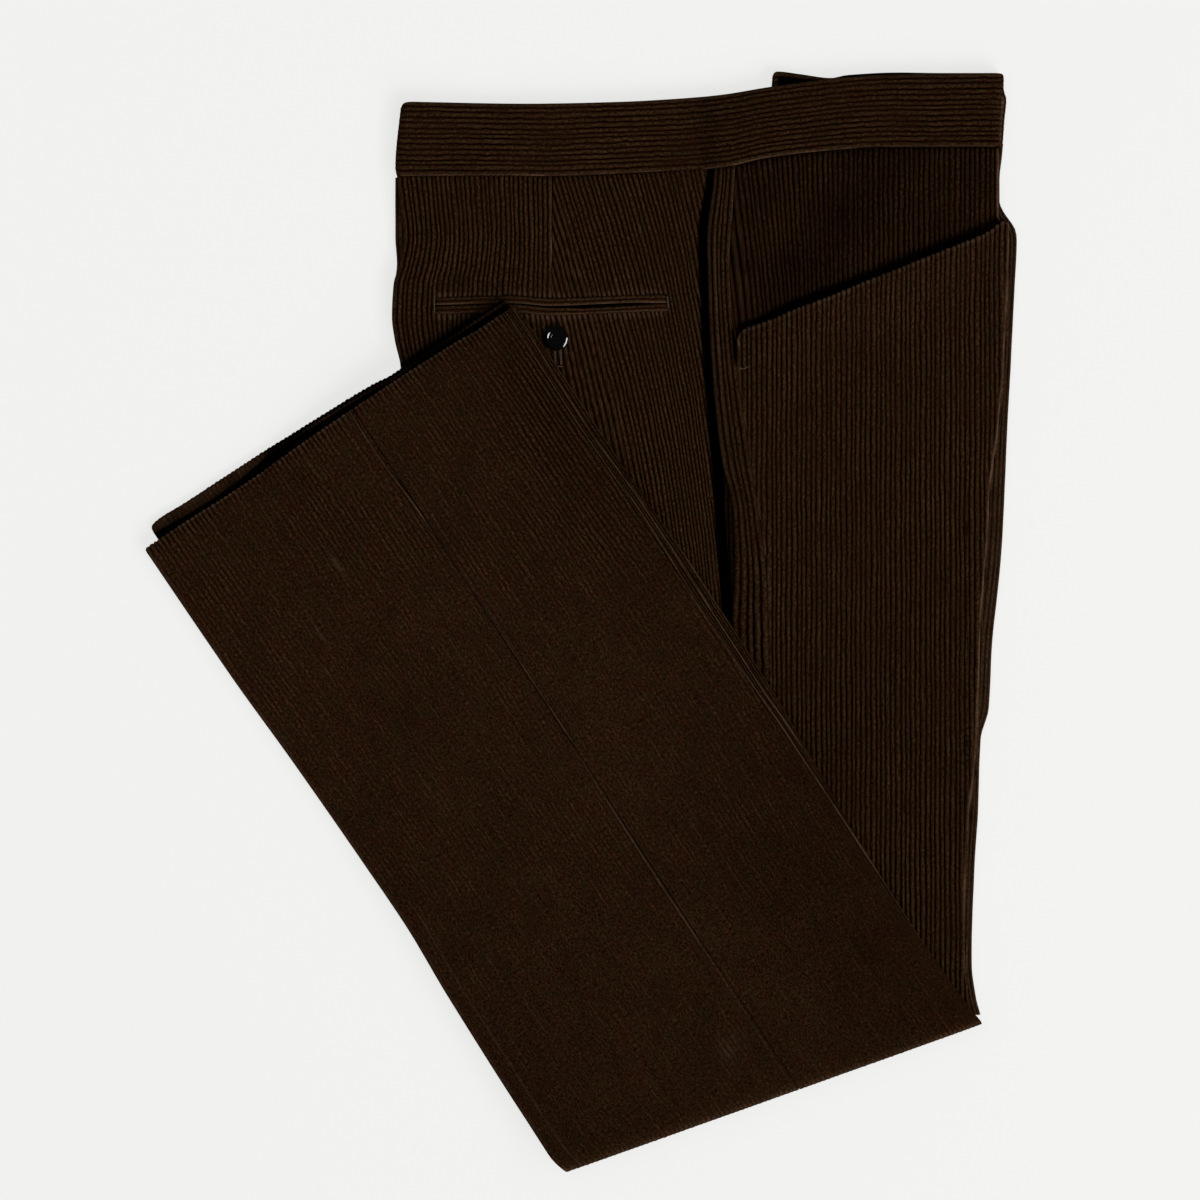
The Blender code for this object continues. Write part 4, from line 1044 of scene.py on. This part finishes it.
# (s, t) of the lines where the pile is worn pale, and (s, 0 to 1) how worn it is: two along the
# outseam, and three on the folds at the front crease
WORN_LINES = [
    (curve((-4, 148.3), (20, 147.9), (70, 150.4), (92, 151.2), (150, 151.5), (230, 151.5),
           (262, 149.8), (330, 149.2), (395, 149.4), (450, 148.8)),
     curve((-4, 0.8), (12, 0.75), (20, 0.3), (32, 0.5), (45, 0.9), (68, 0.9), (80, 0.35),
           (145, 0.3), (165, 0.65), (200, 0.95), (228, 0.9), (238, 0.2), (268, 0.25), (285, 0.55),
           (330, 0.7), (392, 0.65), (402, 0.25), (450, 0.2))),
    (curve((100, 153), (235, 152.9), (290, 151.3), (450, 151.2)),
     curve((100, 0), (125, 0.25), (200, 0.2), (235, 0), (268, 0.1), (290, 0.45), (370, 0.4),
           (390, 0.1), (450, 0))),
    (curve((-4, 263.6), (20, 263.2), (50, 262.2), (90, 262.2), (110, 263), (136, 264.3),
           (200, 264.3), (230, 263.5), (270, 263.5), (290, 264.3), (312, 264.6)),
     curve((-4, 0.8), (20, 0.6), (60, 0.95), (110, 0.8), (140, 0.55), (200, 0.9), (295, 0.9),
           (312, 0.3), (325, 0))),
    (curve((30, 266.2), (90, 266.7), (140, 267.9), (190, 268.2), (230, 268)),
     curve((30, 0), (60, 0.6), (90, 0.8), (190, 0.75), (215, 0.2), (230, 0))),
    (curve((-4, 258.8), (110, 258.8), (140, 260.8), (180, 260.6), (210, 259.3), (245, 259.3),
           (280, 260.6), (300, 261.2), (440, 261.2)),
     curve((-4, 0.5), (60, 0.55), (110, 0.45), (140, 0.7), (180, 0.7), (200, 0.4), (245, 0.5),
           (300, 0.9), (400, 1), (440, 0.6), (455, 0))),
]
HEM_ROWS = (0.0, 0.25, 0.6, 1.1, 1.8, 3.0, 5.0, 8.0)     # depths of the first rows in a hem
LEG_LENGTH = 470.0       # about the length of the top panels from the hem to the knee fold
KNEE_S, FOLD_SLANT = 447.3, 0.2425       # the fold's place at the back crease, and its slope
FOLD_NORMAL = 0.972      # cosine of that slope
ROLL = np.radians(np.arange(80, -81, -10))       # where the rows lie on the fold's half circle
UNDER_THIGH = 8.0        # length of the last row, under the thighs
KNEE_LOWEST = 0.35       # the top panels go no closer to the floor


def knee_fold_s(t):
    """How far down the leg its knee fold lies, at t across."""
    return KNEE_S + FOLD_SLANT * (t - 8)


def round_the_knee(columns_at, first_s, rows, inset=0.0):
    """Rows of points (s, t, z) down the leg's top and round its knee fold.

    The fold is a half circle: s = fold - (r - (r - inset) cos(a)) / n and z = r + (r - inset)
    sin(a), with r half of the folded leg's thickness. A last row goes on level under the thighs.
    """
    # where each column meets the fold: two rounds settle s and t on each other
    fold_t = columns_at(np.full((1, 1), LEG_LENGTH + 10))
    for _ in range(2):
        fold_s = knee_fold_s(fold_t)
        fold_t = columns_at(fold_s)
    radius = shin_face(fold_s - 10, fold_t) / 2
    share = rows[:, None]
    s = lerp(first_s, fold_s - radius / FOLD_NORMAL, share)
    z = lerp(shin_face(s, columns_at(s)), 2 * radius, ramp(0.8, 1.0, share)) - inset
    angle = ROLL[:, None]
    round_s = fold_s - (radius - (radius - inset) * np.cos(angle)) / FOLD_NORMAL
    round_z = radius + (radius - inset) * np.sin(angle)
    s = np.concatenate([s, round_s, round_s[-1:] - UNDER_THIGH])
    return s, columns_at(s), np.concatenate([z, round_z, round_z[-1:]])


def turning_across(width, turned=9.0, narrow=6):
    """As wales_across, but the last wales turn over the fold, so they look narrow from above."""
    wide = wales_across(width - turned) * (width - turned)
    last = width - turned + turned * np.linspace(0, 1, COLUMNS * narrow + 1)[1:]
    return np.concatenate([wide, last]) / width


def top_panel(left, right, share):
    """One of the two top panels: t goes from left(s) to right(s) by share, and z is shin_face."""
    rows = np.concatenate([np.array(HEM_ROWS) / LEG_LENGTH, np.linspace(12 / LEG_LENGTH, 1, 122)])
    hem = FAR_HEM_S(lerp(left(0.0), right(0.0), share))
    s, t, z = round_the_knee(lambda s: lerp(left(s), right(s), share), hem, rows)
    inward = np.minimum(t - BACK_CREASE_T(s), FRONT_CREASE_T(s) - t)
    s = s + rounded(inward, 3.0, 2.4) * fall(0, 12, s - hem)
    x, y = leg_point(s, t)
    flat = fall(400, 440, s)
    z = z - rounded(inward, 3.6, 3.6) * flat - rounded(s - hem, 1.8, 1.7)
    z = z + (0.55 * wander(s, t, 66) + 0.25 * wander(t, s, 25)) * flat * ramp(4, 22, inward)
    # troughs along the front crease, and the marks of how it was folded before
    z = z + crease(x, y, (-162, 28), (-181, -12), 2.6, 0.7)
    z = z + crease(s, t, (40, 258.5), (430, 254), 1.6, -0.5) * flat
    z = z + crease(s, t, (10, 249), (300, 250), 1.6, -0.35) * flat
    z = z + crease(s, t, (150, 60), (230, 100), 9, 0.6)
    z = z + crease(s, t, (80, 215), (260, 190), 14, 0.5)
    z = np.maximum(z - rounded(np.abs(t - OUTSEAM_T), 0.9, 0.25), KNEE_LOWEST)
    drift = 0.4 * wander(s, 3 * t, 40) * ramp(0, 8, inward) * ramp(0, 6, np.abs(t - OUTSEAM_T))
    x, y = leg_point(s, t + drift * flat)
    to_front = FRONT_CREASE_T(s) - t
    tips = crests(len(share))
    at_knee = ramp(-4.5, -1.5, s - knee_fold_s(t))
    fade = 0.26 + 0.18 * wander(s, t, 75) + 0.1 * wander(t, s, 31)
    fade = fade + 0.42 * fall(8, 70, to_front) * (1 - 0.75 * ramp(50, 220, s))
    fade = fade + 0.4 * fall(2, 9, s - hem) - 0.12 * ramp(120, 400, s)
    fade = fade + 0.1 * fall(120, 260, s)
    fade = np.maximum(fade, 0.85 * fall(9, 14, to_front) * (1 - 0.7 * ramp(250, 320, s)))
    fade = lerp(fade, 0.6, at_knee)
    # painted shade: each worn line has a dark one on either side, where the cloth dips
    rub, painted_shade = 0, 0
    for place, worn in WORN_LINES:
        rub = rub + 1.15 * worn(s) * bell(t - place(s), 0.34)
        painted_shade = painted_shade + 0.85 * worn(s) * bell(t - place(s) - 1.15, 0.42)
        painted_shade = painted_shade + 0.7 * worn(s) * bell(t - place(s) + 1.15, 0.42)
    # the hem's fold, and old folds along the creases
    rub = rub + 1.1 * bell(s - hem - 0.5, 0.5) * tips
    rub = rub + 0.2 * bell(t - BACK_CREASE_T(s) - 1.5, 1.2)
    rub = rub + 0.3 * bell(t - BACK_CREASE_T(s) - 10.4, 0.5) * ramp(230, 300, s) * (1 - at_knee)
    rub = rub + 0.3 * at_knee * tips
    rub = rub + 0.3 * tips * bell(s - 438, 9) * bell(t - 130, 8)
    for streak_s, streak_t in ((68, 92), (96, 61)):
        rub = rub + 0.4 * bell(s - streak_s, 9) * bell(t - streak_t, 0.8)
    # a little shade is painted on, towards the knee and the front crease
    broad_shade = 0.15 * ramp(190, 380, s) + 0.14 * fall(20, 110, to_front)
    painted_shade = np.maximum(np.minimum(painted_shade, 0.9), broad_shade) * (1 - at_knee)
    fade = np.clip(fade, 0, 1)
    return layer(grid(x, y, z), pile=0.75 * fade * (1 - 0.5 * at_knee), nap=fade**1.3,
                 rub=np.clip(rub, 0, 1), painted_shade=painted_shade)


leg_back = garment_piece(
    "lower_leg_back_far_cloth", ["lower_leg_back_far"],
    top_panel(BACK_CREASE_T, lambda s: OUTSEAM_T - SEAM / 2 + 0 * s, wales_across(149)))
leg_front = garment_piece(
    "lower_leg_front_far_cloth", ["lower_leg_front_far"],
    top_panel(lambda s: OUTSEAM_T + SEAM / 2 + 0 * s, FRONT_CREASE_T, turning_across(115.8)))


def hem_layer(edge_of, lift, thickness, left_t=10.0, right_t=262.0):
    """A layer that ends in a turned hem, at a height lift over what the leg lies on."""
    t = lerp(left_t, right_t, wales_across(right_t - left_t))
    inward = np.array([*HEM_ROWS[:5], *np.arange(2.5, 8.5, 0.5), *np.linspace(12, 30, 5)])[:, None]
    s = edge_of(t) + inward
    s = s + rounded(t - left_t, 3.5, 3.0) * fall(0, 15, inward)
    t = t + 0 * s
    x, y = leg_point(s, t)
    side = rounded(np.minimum(t - left_t, right_t - t), 2.0, thickness * 0.8)
    z = under_shin(x, y) + lift + thickness - rounded(inward, 1.4, thickness * 0.8) - side
    # painted shade from the hem above it and from the thigh's height towards the front crease,
    # with a painted highlight along its edge in that shade, and a little painted light elsewhere
    shaded = ramp(84, 100, t)
    lit = bell(inward - 2.3, 0.75) * NEAR_HEM_LIT(t)
    begins = UNDER_HEM_S(t)
    painted_shade = lerp(np.maximum(0.1, 0.97 * ramp(begins, begins + 1.3, s)), 0.97 * (1 - lit), shaded)
    ribbed = np.maximum(shaded, ramp(45, 60, t) * fall(1.5, 3, inward))
    return layer(grid(x, y, z), pile=lerp(0.2, 0.5, ribbed), thickness=thickness * 0.9,
                 nap=lerp(0.4, 0.85, ribbed), rub=lerp(0.14, 0.45 * lit, shaded), painted_shade=painted_shade)


hem_near = garment_piece("lower_leg_hem_near_cloth", ["lower_leg_hem_near"],
                         hem_layer(NEAR_HEM_S, 1.9, 1.7),
                         hem_layer(lambda t: NEAR_HEM_S(t) + 0.5, 0.1, 1.6))


def leg_edge(crease_t, way):
    """Places along one crease of the lower leg, on what it lies on."""

    def edge(out, z, s):
        s = s[:, None]
        t = crease_t(s) + out
        x, y = leg_point(s, t)
        return grid(x, y, z + under_shin(*leg_point(s, crease_t(s) - 3 * way)))

    return edge


inner_folds = garment_piece(
    "lower_leg_folds_near", ["hidden_layers"],
    folded_edge(leg_edge(lambda s: BACK_CREASE_T(s) + 0.6, -1), 12.0, -1, 0.05,
                np.linspace(-2, 432, 110)),
    folded_edge(leg_edge(lambda s: FRONT_CREASE_T(s) - 0.6, 1), 12.0, 1, 0.05,
                np.linspace(-2, 488, 120)),
    hem_layer(lambda t: FAR_HEM_S(t) + 1.0, 3.9, 1.6, left_t=4.0))


KNEE_INSETS = (2.1, 4.0, 5.9, 7.8)       # how far inside the top panels they lie
KNEE_LAYERS_S = 380.0    # they are modelled from here down the leg


def knee_layers():
    """The inner layers, which turn round the knee fold one inside another."""
    share = wales_across(256)
    parts = []
    for inset in KNEE_INSETS:
        s, t, z = round_the_knee(
            lambda s: lerp(BACK_CREASE_T(s) + 0.7, FRONT_CREASE_T(s) - 0.7, share),
            KNEE_LAYERS_S, np.linspace(0, 1, 6), inset)
        x, y = leg_point(s, t)
        parts.append(layer(grid(x, y, z), pile=0.2, thickness=1.7, rub=0.15))
    return parts


knee = garment_piece("knee_layers", ["hidden_layers"], *knee_layers())


def leg_underside():
    """The near leg's outer side, which comes down from the thigh to the floor beside it."""
    s = np.linspace(-2, 440, 48)[:, None]
    t = lerp(BACK_CREASE_T(s) + 1.2, FRONT_CREASE_T(s) - 2.0, wales_across(260))
    s = s + 0 * t
    x, y = leg_point(s, t)
    return layer(grid(x, y, under_shin(x, y) + 0.1), pile=0.0, thickness=1.0, down=True)


under_near = garment_piece("lower_leg_underside", ["hidden_layers"], leg_underside())


# --- Studio ----------------------------------------------------------------------------------
# A pale floor under a soft even light: a large softbox low on the side of the front crease and
# the knee, a narrow one beside it that alone shines in the button, a weak one from the other side
# and dim surroundings. The camera is straight above.

FLOOR, FLOOR_GLOW = "#7c7c7b", "#dddddc"
FLOOR_REACH, FLOOR_DROP = 20.0, 0.0002   # metres out from the middle, and below the trousers
CAMERA = (0.0117, 0.0126, 3.0)           # metres; the trousers lie a little off its axis


def lit_acrylic(add):
    """Matt white acrylic, lit from below: it shows only a faint soft shadow of the object."""
    fibre = add("TexNoise", add("TexCoord", output="Object"), 900.0)
    return {"Base Color": linear(FLOOR), "Normal": add("Bump", 0.05, 0.1 * MM, None, fibre),
            "Emission Color": linear(FLOOR_GLOW), "Emission Strength": 1.0,
            "Roughness": 0.9, "Specular IOR Level": 0.1}


mesh = bpy.data.meshes.new("floor")
mesh.from_pydata([(x * FLOOR_REACH, y * FLOOR_REACH, -FLOOR_DROP)
                  for x, y in ((-1, -1), (1, -1), (1, 1), (-1, 1))], [], [(0, 1, 2, 3)])
mesh.materials.append(material("lit_acrylic", lit_acrylic))
floor = add_object("floor", mesh)

world = bpy.data.worlds.new("studio")
world.use_nodes = True
# its surfaces light the cloth, but they are too dim to show in the button
glossy = node(world.node_tree, "LightPath", output="Is Glossy Ray")
strength = node(world.node_tree, "MapRange", glossy, 0.0, 1.0, 0.235, 0.02)
feed(world.node_tree, world.node_tree.nodes["Background"].inputs,
     {"Color": linear("#ffffff"), "Strength": strength})
bpy.context.scene.world = world


def lamp(name, kind, azimuth, elevation, distance, mirrored, **settings):
    """A light that faces the object from a direction in degrees, and shows in its gloss or not."""
    a, e = np.radians([azimuth, elevation])
    light = bpy.data.lights.new(name, kind)
    for setting, value in settings.items():
        setattr(light, setting, value)
    made = add_object(name, light)
    away = Vector((np.cos(a) * np.cos(e), np.sin(a) * np.cos(e), np.sin(e)))
    made.location = away * distance
    made.rotation_mode = "QUATERNION"
    made.rotation_quaternion = away.to_track_quat("Z", "Y")
    made.visible_glossy = mirrored


lamp("key", "SUN", -52, 34, 3.0, False, energy=1.92, angle=np.radians(40))
lamp("strip", "AREA", -17, 38, 2.0, True, energy=9.5, shape="RECTANGLE", size=1.6, size_y=0.2)
lamp("fill", "AREA", 140, 60, 2.2, False, energy=6.9, size=1.6)

camera = add_object("camera", bpy.data.cameras.new("camera"))
camera.data.sensor_width, camera.data.lens = 36.0, 150.0
camera.location = CAMERA
bpy.context.scene.camera = camera
bpy.context.scene.view_settings.view_transform = "Standard"
